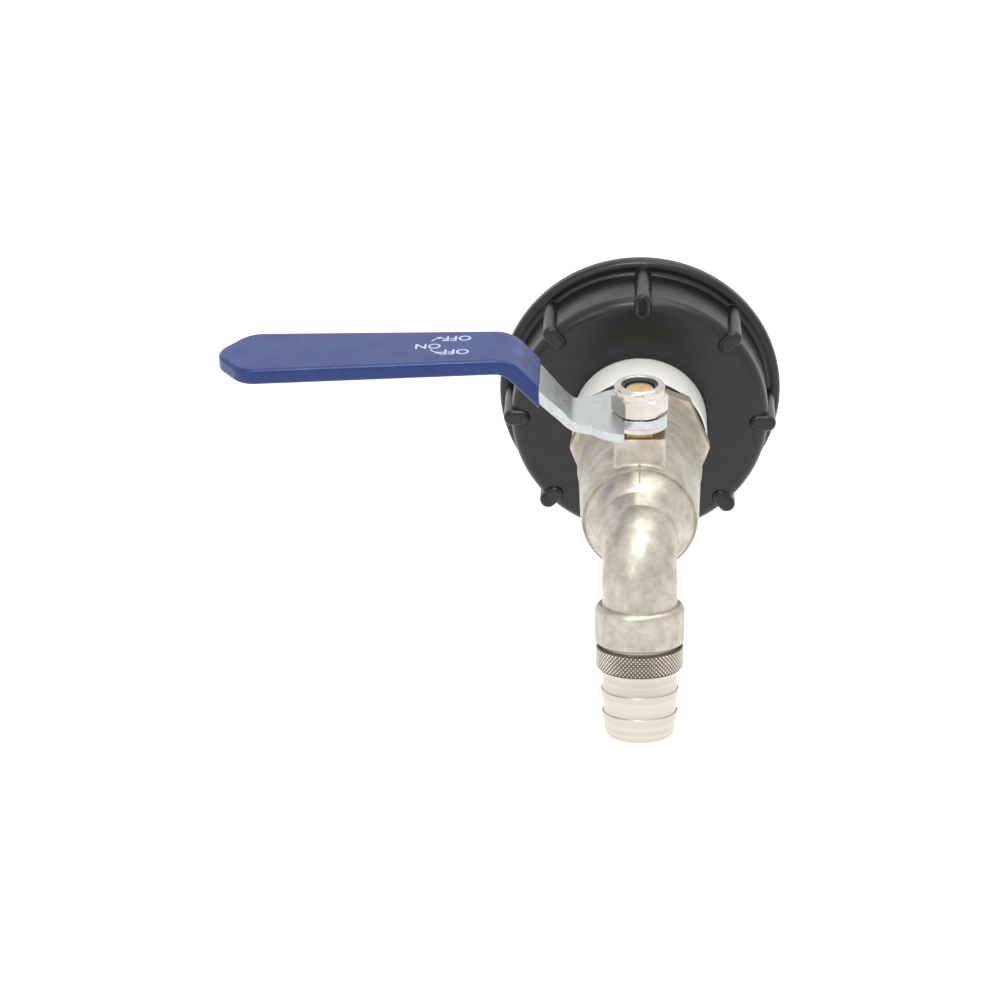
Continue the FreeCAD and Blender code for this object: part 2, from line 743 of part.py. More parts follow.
def lever_plan():
    """Plan of the lever: small hub, wide half disc, waist, arm and round end."""
    shoulder = lever_shoulder_from_stem
    hub_side = math.sqrt(lever_hub_radius ** 2 - shoulder ** 2)
    disc_side = math.sqrt(lever_disc_radius ** 2 - shoulder ** 2)
    leave = math.radians(38)
    mid = (math.atan2(disc_side, shoulder) + leave) / 2
    off_disc = (lever_disc_radius * math.cos(leave), lever_disc_radius * math.sin(leave))
    edges = [Part.Arc(in_plan(shoulder, hub_side), in_plan(-lever_hub_radius, 0),
                      in_plan(shoulder, -hub_side)).toShape()]
    for side in (1, -1):
        def at(left, aside):
            return in_plan(left, side * aside)
        edges.append(Part.LineSegment(at(shoulder, hub_side), at(shoulder, disc_side)).toShape())
        edges.append(Part.Arc(at(shoulder, disc_side),
                              at(lever_disc_radius * math.cos(mid),
                                 lever_disc_radius * math.sin(mid)),
                              at(*off_disc)).toShape())
        waist_in = (lever_waist_from_stem + off_disc[0]) / 2
        waist_out = (lever_waist_from_stem + lever_arm_from_stem) / 2
        edges.append(through_points([
            (off_disc[0], side * off_disc[1]),
            (waist_in, side * (lever_waist_half_width * 0.55 + off_disc[1] * 0.45)),
            (lever_waist_from_stem, side * lever_waist_half_width),
            (waist_out, side * (lever_waist_half_width + lever_arm_half_width) / 2),
            (lever_arm_from_stem, side * lever_arm_half_width)]))
    edges += path_edges(arm_corners(lever_arm_from_stem, 0), in_plan, False)
    return plan_prism(Part.sortEdges(edges)[0])


def make_lever_plate():
    """Bent steel lever plate with its two-flat hole."""
    plate = bent_strip(0, 0).common(lever_plan())
    hole = two_flats(lever_thread_radius + seat_clearance, lever_flat_half_width + seat_clearance,
                     0, nut_top)
    return plate.cut(hole)


def make_lever_sleeve():
    """Soft sleeve dipped over the lever's arm."""
    plan = path_edges(arm_corners(sleeve_from_stem, sleeve_wall), in_plan, True)
    skin = bent_strip(sleeve_wall, sleeve_wall).common(plan_prism(plan))
    mouth = -sleeve_from_stem - FLAT_ENOUGH
    full_width = 2 * lever_arm_half_width
    long_edges = []
    for edge in skin.Edges:
        box = edge.BoundBox
        upright = box.ZLength > 0.9 * edge.Length
        across = box.YLength > full_width and box.XLength < FLAT_ENOUGH
        if not upright and not across and box.XMin < mouth:
            long_edges.append(edge)
    rounded = skin.makeFillet(sleeve_edge_rounding, long_edges)
    return rounded.cut(make_lever_plate())


def make_lever_nut():
    """Self-locking hexagon nut with its rolled collar."""
    hexagon = prism(6, nut_across_flats, 0, Vector(0, -stem_ahead, lever_top), Vector(0, 0, 1),
                    nut_height)
    corner = nut_across_flats / 2 / math.cos(math.pi / 6)
    chamfer = (corner - nut_across_flats / 2 * 0.95) / 2
    shoulder = lever_top + nut_hex_height
    turned = turned_on_stem_axis([
        (0, lever_top),
        (nut_across_flats / 2 * 0.95, lever_top),
        (corner, lever_top + chamfer),
        (corner, shoulder - chamfer),
        (nut_collar_radius, shoulder),
        (nut_collar_radius, nut_top - nut_rim_thickness),
        (0, nut_top - nut_rim_thickness),
    ])
    collar = turned_on_stem_axis([
        (0, shoulder),
        (nut_collar_radius, shoulder),
        (nut_collar_radius, nut_top, 1.3),
        (nut_rim_radius, nut_top, 0.3),
        (nut_rim_radius, nut_top - nut_rim_thickness),
        (0, nut_top - nut_rim_thickness),
    ])
    ring_top = nut_top - nut_rim_thickness
    room = turned_on_stem_axis([
        (0, 0),
        (lever_thread_radius, 0),
        (lever_thread_radius, ring_top - nut_ring_height),
        (nut_ring_radius, ring_top - nut_ring_height),
        (nut_ring_radius, ring_top),
        (0, ring_top),
    ])
    return hexagon.common(turned).fuse(collar).cut(room).removeSplitter()


def make_nut_ring():
    """Nylon locking ring held in the nut's collar."""
    top = nut_top - nut_rim_thickness
    return ring_on_stem_axis(lever_thread_radius, nut_ring_radius - seat_clearance / 2,
                             top - nut_ring_height, top)


# ---- Hose tail -----------------------------------------------------------------------
def make_tail_washer():
    """Flat washer between the hose tail's thread and the socket's floor."""
    outer = tail_thread_radius - running_clearance
    return turned_on_spout([(tail_washer_hole_radius, tail_washer_start), (outer, tail_washer_start),
                            (outer, tail_thread_start), (tail_washer_hole_radius, tail_thread_start)])


def make_hose_tail():
    """Hose tail: thread, grip ring, neck, barbs with square ledges and a rounded tip."""
    thread = tail_thread_radius - thread_clearance
    corners = [
        (tail_bore_radius, tail_thread_start),
        (thread - tail_ring_chamfer, tail_thread_start),
        (thread, tail_thread_start + tail_ring_chamfer),
        (thread, collar_end - running_clearance),
        (tail_gap_radius, collar_end),
        (tail_gap_radius, tail_ring_start),
        (tail_ring_radius - tail_ring_chamfer / 2, tail_ring_start),
        (tail_ring_radius, tail_ring_start + tail_ring_chamfer / 2),
        (tail_ring_radius, tail_ring_end - tail_ring_chamfer),
        (tail_ring_radius - tail_ring_chamfer, tail_ring_end),
        (tail_neck_radius, tail_ring_end),
    ]
    for barb in range(barb_count):
        start = barbs_start + barb * barb_length
        crest = barb_radius - barb * barb_shrink
        root = tail_neck_radius if barb == 0 else barb_radius - (barb - 1) * barb_shrink - barb_taper
        corners += [(root, start), (crest, start)]
    last = barb_radius - (barb_count - 1) * barb_shrink - barb_taper
    corners += [
        (last, barbs_start + barb_count * barb_length - tail_tip_rounding),
        (last, tail_end, tail_tip_rounding * 0.8),
        (tail_bore_radius, tail_end),
    ]
    return turned_on_spout(corners)


PIECES = {
    "coupling_cap": make_coupling_cap,
    "sealing_gasket": make_sealing_gasket,
    "thread_insert": make_thread_insert,
    "inlet_o_ring": make_inlet_o_ring,
    "inlet_connector": make_inlet_connector,
    "body_seal_ring": make_body_seal_ring,
    "tap_body": make_tap_body,
    "rear_seat": make_rear_seat,
    "front_seat": make_front_seat,
    "ball": make_ball,
    "stem": make_stem,
    "thrust_washer": make_thrust_washer,
    "stem_packing": make_stem_packing,
    "gland_nut": make_gland_nut,
    "lever_washer": make_lever_washer,
    "lever_plate": make_lever_plate,
    "lever_sleeve": make_lever_sleeve,
    "lever_nut": make_lever_nut,
    "nut_ring": make_nut_ring,
    "tail_washer": make_tail_washer,
    "hose_tail": make_hose_tail,
}

os.makedirs("parts", exist_ok=True)
for name, make in PIECES.items():
    solid = make()
    if solid.ShapeType != "Solid" and len(solid.Solids) == 1:
        solid = solid.Solids[0]
    print(name, "valid" if solid.isValid() else "NOT VALID", len(solid.Solids), "solid(s)",
          round(solid.Volume, 1), "mm3")
    solid.exportStep("parts/" + name + ".step")
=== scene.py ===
"""Looks of a tank outlet valve: finishes, threads, knurl, printed marks, floor, lamps and camera."""

import json
import logging
import math
from dataclasses import dataclass
from enum import Enum
from typing import Callable, Iterable, Optional, Sequence

import bmesh
import bpy
from mathutils import Matrix, Vector
from mathutils.bvhtree import BVHTree


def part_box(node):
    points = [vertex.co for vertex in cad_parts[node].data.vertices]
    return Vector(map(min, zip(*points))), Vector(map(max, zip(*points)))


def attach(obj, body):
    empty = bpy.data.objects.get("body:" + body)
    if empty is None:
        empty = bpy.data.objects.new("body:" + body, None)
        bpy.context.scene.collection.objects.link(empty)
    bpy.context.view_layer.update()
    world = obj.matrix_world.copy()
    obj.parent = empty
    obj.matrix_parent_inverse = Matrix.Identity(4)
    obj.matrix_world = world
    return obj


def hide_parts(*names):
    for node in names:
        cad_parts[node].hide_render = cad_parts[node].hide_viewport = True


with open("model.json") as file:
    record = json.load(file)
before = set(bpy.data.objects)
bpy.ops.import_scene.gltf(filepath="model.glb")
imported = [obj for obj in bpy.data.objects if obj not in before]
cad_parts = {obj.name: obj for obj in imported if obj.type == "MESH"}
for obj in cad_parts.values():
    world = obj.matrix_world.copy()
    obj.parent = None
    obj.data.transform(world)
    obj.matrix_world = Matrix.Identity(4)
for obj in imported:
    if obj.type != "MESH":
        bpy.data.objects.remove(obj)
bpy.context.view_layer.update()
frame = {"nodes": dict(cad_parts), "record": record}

MM = 0.001
LOG = logging.getLogger("tank_valve")

Colour = tuple[float, float, float]


# ---- Colours and small sums ------------------------------------------------------------------
def display(red: float, green: float, blue: float) -> Colour:
    """Turn a colour as it shows on a screen, 0 to 255, into the renderer's linear values.

    Args:
        red: red part.
        green: green part.
        blue: blue part.

    Returns:
        The linear colour.
    """
    def linear(value: float) -> float:
        """Linear value of one part."""
        share = value / 255.0
        return share / 12.92 if share <= 0.04045 else ((share + 0.055) / 1.055) ** 2.4

    return (linear(red), linear(green), linear(blue))


def triangle_wave(turns: float) -> float:
    """Height from 0 to 1 and back over each whole turn, 0 at whole numbers."""
    part = turns - math.floor(turns)
    return 1.0 - abs(2.0 * part - 1.0)


def smooth_step(low: float, high: float, value: float) -> float:
    """Soft ramp from 0 at low to 1 at high."""
    share = min(1.0, max(0.0, (value - low) / (high - low)))
    return share * share * (3.0 - 2.0 * share)


def joint_line(name: str) -> tuple[Vector, Vector]:
    """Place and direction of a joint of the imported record.

    Args:
        name: the joint's name.

    Returns:
        A point on the joint's axis, in metres, and its unit direction.
    """
    for joint in frame["record"]["behaviour"]["joints"]:
        if joint["name"] == name:
            return Vector(joint["pos_m"]), Vector(joint["axis"]).normalized()
    raise KeyError(name)


# ---- Meshes ----------------------------------------------------------------------------------
def mesh_piece(name: str, points: Sequence[Vector], faces: Sequence[Sequence[int]]) -> bpy.types.Object:
    """Make a smooth-shaded mesh object from points and faces.

    Args:
        name: the piece's name.
        points: places of the corners, in metres.
        faces: corner numbers of each face.

    Returns:
        The new object, linked to the scene.
    """
    mesh = bpy.data.meshes.new(name)
    mesh.from_pydata([tuple(point) for point in points], [], [tuple(face) for face in faces])
    work = bmesh.new()
    work.from_mesh(mesh)
    bmesh.ops.recalc_face_normals(work, faces=work.faces)
    for face in work.faces:
        face.smooth = True
    work.to_mesh(mesh)
    work.free()
    piece = bpy.data.objects.new(name, mesh)
    bpy.context.scene.collection.objects.link(piece)
    return piece


def keep_edges_sharp(piece: bpy.types.Object, degrees: float) -> None:
    """Mark every edge sharper than an angle, so that it shades as an edge."""
    work = bmesh.new()
    work.from_mesh(piece.data)
    limit = math.radians(degrees)
    for edge in work.edges:
        if len(edge.link_faces) == 2:
            edge.smooth = edge.calc_face_angle(0.0) < limit
    work.to_mesh(piece.data)
    work.free()


def grid_faces(rows: int, columns: int, wrap_rows: bool, wrap_columns: bool) -> list[tuple[int, ...]]:
    """Faces of a grid of points that was listed row by row.

    Args:
        rows: number of rows.
        columns: number of points in a row.
        wrap_rows: whether the last row joins the first.
        wrap_columns: whether the end of each row joins its start.

    Returns:
        Four corner numbers for each face.
    """
    faces = []
    for row in range(rows if wrap_rows else rows - 1):
        below = (row + 1) % rows
        for column in range(columns if wrap_columns else columns - 1):
            beside = (column + 1) % columns
            faces.append((row * columns + column, row * columns + beside,
                          below * columns + beside, below * columns + column))
    return faces


@dataclass(frozen=True)
class TurningAxis:
    """An axis that pieces are turned about.

    Attributes:
        foot: a point on the axis, in metres.
        way: the axis's unit direction.
    """

    foot: Vector
    way: Vector

    def sides(self) -> tuple[Vector, Vector]:
        """Two unit directions square to the axis and to each other."""
        helper = Vector((1.0, 0.0, 0.0)) if abs(self.way.x) < 0.9 else Vector((0.0, 0.0, 1.0))
        first = (helper - self.way * helper.dot(self.way)).normalized()
        return first, self.way.cross(first)

    def point(self, radius_mm: float, turn: float, along_mm: float) -> Vector:
        """Place at a radius, an angle in radians and a distance along the axis."""
        first, second = self.sides()
        out = first * math.cos(turn) + second * math.sin(turn)
        return self.foot + out * (radius_mm * MM) + self.way * (along_mm * MM)


Relief = Callable[[float, float, float], float]


def turned_piece(name: str, axis: TurningAxis, profile: Sequence[tuple[float, float]], segments: int,
                 relief: Optional[Relief] = None) -> bpy.types.Object:
    """Turn a closed profile about an axis, with a relief that changes with the angle.

    Args:
        name: the piece's name.
        axis: the axis to turn about.
        profile: (radius, along) corners of the closed profile, in millimetres.
        segments: number of steps round the axis.
        relief: gives the radius in millimetres for a radius, an angle and a place along.

    Returns:
        The turned object.
    """
    points = []
    for step in range(segments):
        turn = math.tau * step / segments
        for radius, along in profile:
            shaped = relief(radius, turn, along) if relief else radius
            points.append(axis.point(shaped, turn, along))
    return mesh_piece(name, points, grid_faces(segments, len(profile), True, True))


def divided(corners: Sequence[tuple[float, float]], longest: float) -> list[tuple[float, float]]:
    """Add points between corners of a profile so that no step is longer than a length.

    Args:
        corners: (radius, along) corners, in millimetres.
        longest: the longest step, in millimetres.

    Returns:
        The corners with the added points.
    """
    result = [corners[0]]
    for start, end in zip(corners, corners[1:]):
        length = math.hypot(end[0] - start[0], end[1] - start[1])
        count = max(1, math.ceil(length / longest))
        for index in range(1, count + 1):
            share = index / count
            result.append((start[0] + (end[0] - start[0]) * share, start[1] + (end[1] - start[1]) * share))
    return result


# Painted shade: the dark colour laid on the floors of cut grooves in place of the shade that falls in them.
PAINTED_GROOVE_SHADE = display(58, 50, 42)


# ---- Shader groups ---------------------------------------------------------------------------
@dataclass(frozen=True)
class Socket:
    """One socket of a shader group.

    Attributes:
        name: the socket's name.
        kind: Float, Color or Vector.
        value: its value where nothing is linked, or None for an output.
    """

    name: str
    kind: str
    value: object = None


class ShaderTree:
    """Short ways to add and link nodes in one node tree."""

    def __init__(self, tree: bpy.types.NodeTree) -> None:
        """Take the tree that nodes are added to."""
        self.tree = tree

    def node(self, kind: str, **settings: object) -> bpy.types.Node:
        """Add a node of a kind and set its plain properties."""
        node = self.tree.nodes.new(kind)
        for name, value in settings.items():
            setattr(node, name, value)
        return node

    def feed(self, target: bpy.types.NodeSocket, source: object) -> None:
        """Link a socket to an input, or set the input's value."""
        if isinstance(source, bpy.types.NodeSocket):
            self.tree.links.new(source, target)
        else:
            target.default_value = source

    def maths(self, operation: str, *values: object, clamp: bool = False) -> bpy.types.NodeSocket:
        """Result of a Math node on sockets or numbers."""
        node = self.node("ShaderNodeMath", operation=operation, use_clamp=clamp)
        for index, value in enumerate(values):
            self.feed(node.inputs[index], value)
        return node.outputs[0]

    def vector(self, operation: str, *values: object) -> bpy.types.Node:
        """A Vector Math node on sockets or vectors."""
        node = self.node("ShaderNodeVectorMath", operation=operation)
        for index, value in enumerate(values):
            self.feed(node.inputs[index], value)
        return node

    def noise(self, place: bpy.types.NodeSocket, scale: object, detail: float = 2.0,
              roughness: float = 0.5) -> bpy.types.NodeSocket:
        """Noise value at a place, 0 to 1."""
        node = self.node("ShaderNodeTexNoise", noise_dimensions="3D")
        self.feed(node.inputs["Vector"], place)
        self.feed(node.inputs["Scale"], scale)
        node.inputs["Detail"].default_value = detail
        node.inputs["Roughness"].default_value = roughness
        return node.outputs["Fac"]

    def remap(self, value: bpy.types.NodeSocket, low: object, high: object, to_low: object = 0.0,
              to_high: object = 1.0, smooth: bool = False) -> bpy.types.NodeSocket:
        """Value moved from one span to another and held inside it."""
        node = self.node("ShaderNodeMapRange", clamp=True)
        node.interpolation_type = "SMOOTHSTEP" if smooth else "LINEAR"
        self.feed(node.inputs["Value"], value)
        self.feed(node.inputs["From Min"], low)
        self.feed(node.inputs["From Max"], high)
        self.feed(node.inputs["To Min"], to_low)
        self.feed(node.inputs["To Max"], to_high)
        return node.outputs["Result"]

    def blend(self, share: object, first: object, second: object) -> bpy.types.NodeSocket:
        """Colour between two colours."""
        node = self.node("ShaderNodeMix", data_type="RGBA")
        self.feed(node.inputs["Factor"], share)
        colours = [socket for socket in node.inputs if socket.type == "RGBA"]
        for socket, colour in zip(colours, (first, second)):
            self.feed(socket, (*colour, 1.0) if isinstance(colour, tuple) else colour)
        return next(socket for socket in node.outputs if socket.type == "RGBA")

    def from_axis(self, foot: bpy.types.NodeSocket, way: bpy.types.NodeSocket
                  ) -> tuple[bpy.types.NodeSocket, bpy.types.NodeSocket]:
        """Distance along an axis and distance out from it, at the place on the piece."""
        arm = self.vector("SUBTRACT", self.place(), foot).outputs[0]
        along = self.vector("DOT_PRODUCT", arm, way).outputs["Value"]
        length = self.vector("LENGTH", arm).outputs["Value"]
        square = self.maths("SUBTRACT", self.maths("MULTIPLY", length, length),
                            self.maths("MULTIPLY", along, along))
        return along, self.maths("SQRT", self.maths("MAXIMUM", square, 0.0))

    def place(self) -> bpy.types.NodeSocket:
        """Place on the piece, in metres, in the piece's own frame."""
        return self.node("ShaderNodeTexCoord").outputs["Object"]


def new_group(name: str, inputs: Sequence[Socket], outputs: Sequence[Socket]
              ) -> tuple[ShaderTree, dict[str, bpy.types.NodeSocket], bpy.types.Node]:
    """Start a shader group with named sockets.

    Args:
        name: the group's name.
        inputs: its inputs with their values.
        outputs: its outputs.

    Returns:
        The tree, the inputs' sockets by name, and the output node.
    """
    group = bpy.data.node_groups.new(name, "ShaderNodeTree")
    for socket in inputs:
        made = group.interface.new_socket(socket.name, in_out="INPUT", socket_type="NodeSocket" + socket.kind)
        made.default_value = socket.value
    for socket in outputs:
        group.interface.new_socket(socket.name, in_out="OUTPUT", socket_type="NodeSocket" + socket.kind)
    tree = ShaderTree(group)
    entry = tree.node("NodeGroupInput")
    return tree, {socket.name: entry.outputs[socket.name] for socket in inputs}, tree.node("NodeGroupOutput")


SKIN_INPUTS = (
    Socket("Grain Size", "Float", 0.001),
    Socket("Axis Foot", "Vector", (0.0, 0.0, 0.0)),
    Socket("Axis Way", "Vector", (0.0, 1.0, 0.0)),
)
SKIN_OUTPUTS = (Socket("Height", "Float"), Socket("Tone", "Float"))


class Skin(Enum):
    """The ways that a surface was made, each with its own shader group."""

    FORGED = "forged_skin"
    TURNED = "turned_skin"
    MOULDED = "moulded_skin"
    ROLLED = "rolled_skin"
    DIPPED = "dipped_skin"


class SkinLibrary:
    """Builds the shader group of each skin once and hands it out."""

    def __init__(self) -> None:
        """Start with no groups."""
        self.made: dict[Skin, bpy.types.NodeTree] = {}

    def group(self, skin: Skin) -> bpy.types.NodeTree:
        """The group of a skin, built when it is first asked for."""
        if skin not in self.made:
            build = {
                Skin.FORGED: self.forged,
                Skin.TURNED: self.turned,
                Skin.MOULDED: self.moulded,
                Skin.ROLLED: self.rolled,
                Skin.DIPPED: self.dipped,
            }[skin]
            tree, sockets, result = new_group(skin.value, SKIN_INPUTS, SKIN_OUTPUTS)
            height, tone = build(tree, sockets)
            tree.feed(result.inputs["Height"], height)
            tree.feed(result.inputs["Tone"], tone)
            self.made[skin] = tree.tree
        return self.made[skin]

    @staticmethod
    def forged(tree: ShaderTree, sockets: dict[str, bpy.types.NodeSocket]
               ) -> tuple[bpy.types.NodeSocket, bpy.types.NodeSocket]:
        """Blasted forging: fine pits on slow lumps, with cloudy tone."""
        place = tree.place()
        fine = tree.maths("DIVIDE", 1.0, sockets["Grain Size"])
        pits = tree.noise(place, fine, 3.0, 0.6)
        lumps = tree.noise(place, tree.maths("MULTIPLY", fine, 0.16), 2.0)
        height = tree.maths("MULTIPLY_ADD", lumps, 1.6, pits)
        clouds = tree.noise(place, tree.maths("MULTIPLY", fine, 0.05), 4.0, 0.65)
        return height, tree.remap(clouds, 0.35, 0.68)

    @staticmethod
    def turned(tree: ShaderTree, sockets: dict[str, bpy.types.NodeSocket]
               ) -> tuple[bpy.types.NodeSocket, bpy.types.NodeSocket]:
        """Lathe work: fine rings about an axis, on the sides and on the faces."""
        along, out = tree.from_axis(sockets["Axis Foot"], sockets["Axis Way"])
        combined = tree.node("ShaderNodeCombineXYZ")
        tree.feed(combined.inputs["X"], along)
        tree.feed(combined.inputs["Y"], out)
        fine = tree.maths("DIVIDE", 1.0, sockets["Grain Size"])
        rings = tree.noise(combined.outputs[0], fine, 2.0, 0.7)
        bands = tree.noise(combined.outputs[0], tree.maths("MULTIPLY", fine, 0.12), 2.0)
        return rings, tree.remap(bands, 0.3, 0.7)

    @staticmethod
    def moulded(tree: ShaderTree, sockets: dict[str, bpy.types.NodeSocket]
                ) -> tuple[bpy.types.NodeSocket, bpy.types.NodeSocket]:
        """Moulded plastic: a spark-eroded grain and slow flow marks."""
        place = tree.place()
        fine = tree.maths("DIVIDE", 1.0, sockets["Grain Size"])
        grain = tree.noise(place, fine, 2.0, 0.55)
        flow = tree.noise(place, tree.maths("MULTIPLY", fine, 0.03), 3.0, 0.6)
        return tree.maths("MULTIPLY_ADD", flow, 0.8, grain), tree.remap(flow, 0.35, 0.65)

    @staticmethod
    def rolled(tree: ShaderTree, sockets: dict[str, bpy.types.NodeSocket]
               ) -> tuple[bpy.types.NodeSocket, bpy.types.NodeSocket]:
        """Rolled sheet: long fine scratches along the axis's direction."""
        place = tree.place()
        along = tree.vector("DOT_PRODUCT", place, sockets["Axis Way"]).outputs["Value"]
        stretch = tree.maths("MULTIPLY", along, -0.93)
        back = tree.node("ShaderNodeVectorMath", operation="SCALE")
        tree.feed(back.inputs[0], sockets["Axis Way"])
        tree.feed(back.inputs["Scale"], stretch)
        squeezed = tree.vector("ADD", place, back.outputs[0]).outputs[0]
        fine = tree.maths("DIVIDE", 1.0, sockets["Grain Size"])
        scratches = tree.noise(squeezed, fine, 3.0, 0.6)
        clouds = tree.noise(place, tree.maths("MULTIPLY", fine, 0.06), 3.0, 0.6)
        return scratches, tree.remap(clouds, 0.35, 0.65)

    @staticmethod
    def dipped(tree: ShaderTree, sockets: dict[str, bpy.types.NodeSocket]
               ) -> tuple[bpy.types.NodeSocket, bpy.types.NodeSocket]:
        """Dipped vinyl: a soft slow swell and small pinholes."""
        place = tree.place()
        fine = tree.maths("DIVIDE", 1.0, sockets["Grain Size"])
        swell = tree.noise(place, tree.maths("MULTIPLY", fine, 0.08), 2.0)
        peel = tree.noise(place, fine, 2.0, 0.5)
        return tree.maths("MULTIPLY_ADD", peel, 0.12, swell), tree.remap(swell, 0.35, 0.65)


SKINS = SkinLibrary()


class SoftEdges:
    """Builds the shared group that rounds the shading of edges."""

    made: Optional[bpy.types.NodeTree] = None

    @classmethod
    def group(cls) -> bpy.types.NodeTree:
        """The group, with Width as input and Normal as output."""
        if cls.made is None:
            tree, sockets, result = new_group(
                "soft_edges", (Socket("Width", "Float", 0.0003),), (Socket("Normal", "Vector"),))
            bevel = tree.node("ShaderNodeBevel", samples=4)
            tree.feed(bevel.inputs["Radius"], sockets["Width"])
            tree.feed(result.inputs["Normal"], bevel.outputs["Normal"])
            cls.made = tree.tree
        return cls.made


class GrooveShade:
    """Builds the shared group that finds the floors of grooves cut round an axis, where shade is painted."""

    made: Optional[bpy.types.NodeTree] = None

    @classmethod
    def group(cls) -> bpy.types.NodeTree:
        """The group, with the axis, Crest Radius and Depth as inputs and Mask as output."""
        if cls.made is None:
            tree, sockets, result = new_group(
                "groove_dirt",
                (Socket("Axis Foot", "Vector", (0.0, 0.0, 0.0)),
                 Socket("Axis Way", "Vector", (0.0, 1.0, 0.0)),
                 Socket("Crest Radius", "Float", 0.01), Socket("Depth", "Float", 0.0004)),
                (Socket("Mask", "Float"),))
            _, out = tree.from_axis(sockets["Axis Foot"], sockets["Axis Way"])
            below = tree.maths("SUBTRACT", sockets["Crest Radius"], out)
            sunk = tree.maths("DIVIDE", below, sockets["Depth"])
            # The mask is painted shade: 0 on the crests, rising towards the floors of the grooves.
            tree.feed(result.inputs["Mask"], tree.remap(sunk, 0.3, 0.95, 0.0, 0.92, smooth=True))
            cls.made = tree.tree
        return cls.made


# ---- Finishes --------------------------------------------------------------------------------
@dataclass(frozen=True)
class Finish:
    """One surface finish.

    Attributes:
        name: the finish's name.
        colour: its main colour, linear.
        second: the colour that the skin's tone moves to.
        skin: how the surface was made.
        grain_mm: size of the skin's finest marks.
        depth_mm: depth of the skin's marks.
        metallic: 1 for bare metal, 0 for the rest.
        roughness: roughness where the tone is low and where it is high.
        edge_mm: width of the softened edges, 0 for none.
        inner: weight of the light that goes into the surface.
        groove_mm: depth of cut grooves whose floors are painted with shade, 0 for none.
    """

    name: str
    colour: Colour
    second: Colour
    skin: Skin
    grain_mm: float
    depth_mm: float
    metallic: float
    roughness: tuple[float, float]
    edge_mm: float = 0.0
    inner: float = 0.0
    groove_mm: float = 0.0

    def material(self, axis: Optional[TurningAxis] = None, suffix: str = "",
                 crest_mm: float = 0.0) -> bpy.types.Material:
        """Build the material.

        Args:
            axis: the axis of turned marks, or the run of rolled marks.
            suffix: added to the name where a finish is used with more than one axis.
            crest_mm: radius over the crests of cut grooves.

        Returns:
            The new material.
        """
        made = bpy.data.materials.new(self.name + suffix)
        made.use_nodes = True
        tree = ShaderTree(made.node_tree)
        shader = next(node for node in made.node_tree.nodes if node.type == "BSDF_PRINCIPLED")
        shader.inputs["Metallic"].default_value = self.metallic
        if self.inner:
            shader.inputs["Subsurface Weight"].default_value = self.inner
            shader.inputs["Subsurface Radius"].default_value = (0.002, 0.002, 0.0016)
            shader.inputs["Subsurface Scale"].default_value = 1.0
        skin = tree.node("ShaderNodeGroup", node_tree=SKINS.group(self.skin))
        skin.inputs["Grain Size"].default_value = self.grain_mm * MM
        if axis is not None:
            skin.inputs["Axis Foot"].default_value = axis.foot
            skin.inputs["Axis Way"].default_value = axis.way
        colour = tree.blend(skin.outputs["Tone"], self.colour, self.second)
        # Painted shade: the floors of cut grooves are blended towards the painted shade colour.
        if self.groove_mm:
            painted_shade = tree.node("ShaderNodeGroup", node_tree=GrooveShade.group())
            painted_shade.inputs["Axis Foot"].default_value = axis.foot
            painted_shade.inputs["Axis Way"].default_value = axis.way
            painted_shade.inputs["Crest Radius"].default_value = crest_mm * MM
            painted_shade.inputs["Depth"].default_value = self.groove_mm * MM
            colour = tree.blend(painted_shade.outputs["Mask"], colour, PAINTED_GROOVE_SHADE)
        bump = tree.node("ShaderNodeBump")
        bump.inputs["Strength"].default_value = 1.0
        bump.inputs["Distance"].default_value = self.depth_mm * MM
        tree.feed(bump.inputs["Height"], skin.outputs["Height"])
        if self.edge_mm:
            edge = tree.node("ShaderNodeGroup", node_tree=SoftEdges.group())
            edge.inputs["Width"].default_value = self.edge_mm * MM
            tree.feed(bump.inputs["Normal"], edge.outputs["Normal"])
        tree.feed(shader.inputs["Base Color"], colour)
        tree.feed(shader.inputs["Roughness"],
                  tree.remap(skin.outputs["Tone"], 0.0, 1.0, self.roughness[0], self.roughness[1]))
        tree.feed(shader.inputs["Normal"], bump.outputs["Normal"])
        return made


CAP_PLASTIC = Finish("cap_plastic", display(14, 14, 14), display(10, 10, 10), Skin.MOULDED, 0.16, 0.004,
                     0.0, (0.24, 0.32), edge_mm=0.4)
SEAL_RUBBER = Finish("seal_rubber", display(26, 26, 26), display(20, 20, 20), Skin.MOULDED, 0.12, 0.01,
                     0.0, (0.65, 0.8))
INSERT_NYLON = Finish("insert_nylon", display(243, 242, 236), display(236, 235, 228), Skin.MOULDED, 0.25,
                      0.006, 0.0, (0.35, 0.45), edge_mm=0.3, inner=0.15)
FORGED_NICKEL = Finish("forged_nickel", display(206, 200, 188), display(176, 168, 154), Skin.FORGED, 0.22,
                       0.012, 1.0, (0.34, 0.46), edge_mm=0.35)
TURNED_NICKEL = Finish("turned_nickel", display(211, 205, 194), display(198, 190, 177), Skin.TURNED, 0.14,
                       0.003, 1.0, (0.26, 0.36), edge_mm=0.2)
CONNECTOR_NICKEL = Finish("connector_nickel", display(208, 200, 186), display(184, 175, 158), Skin.FORGED,
                          0.18, 0.008, 1.0, (0.44, 0.55), edge_mm=0.3)
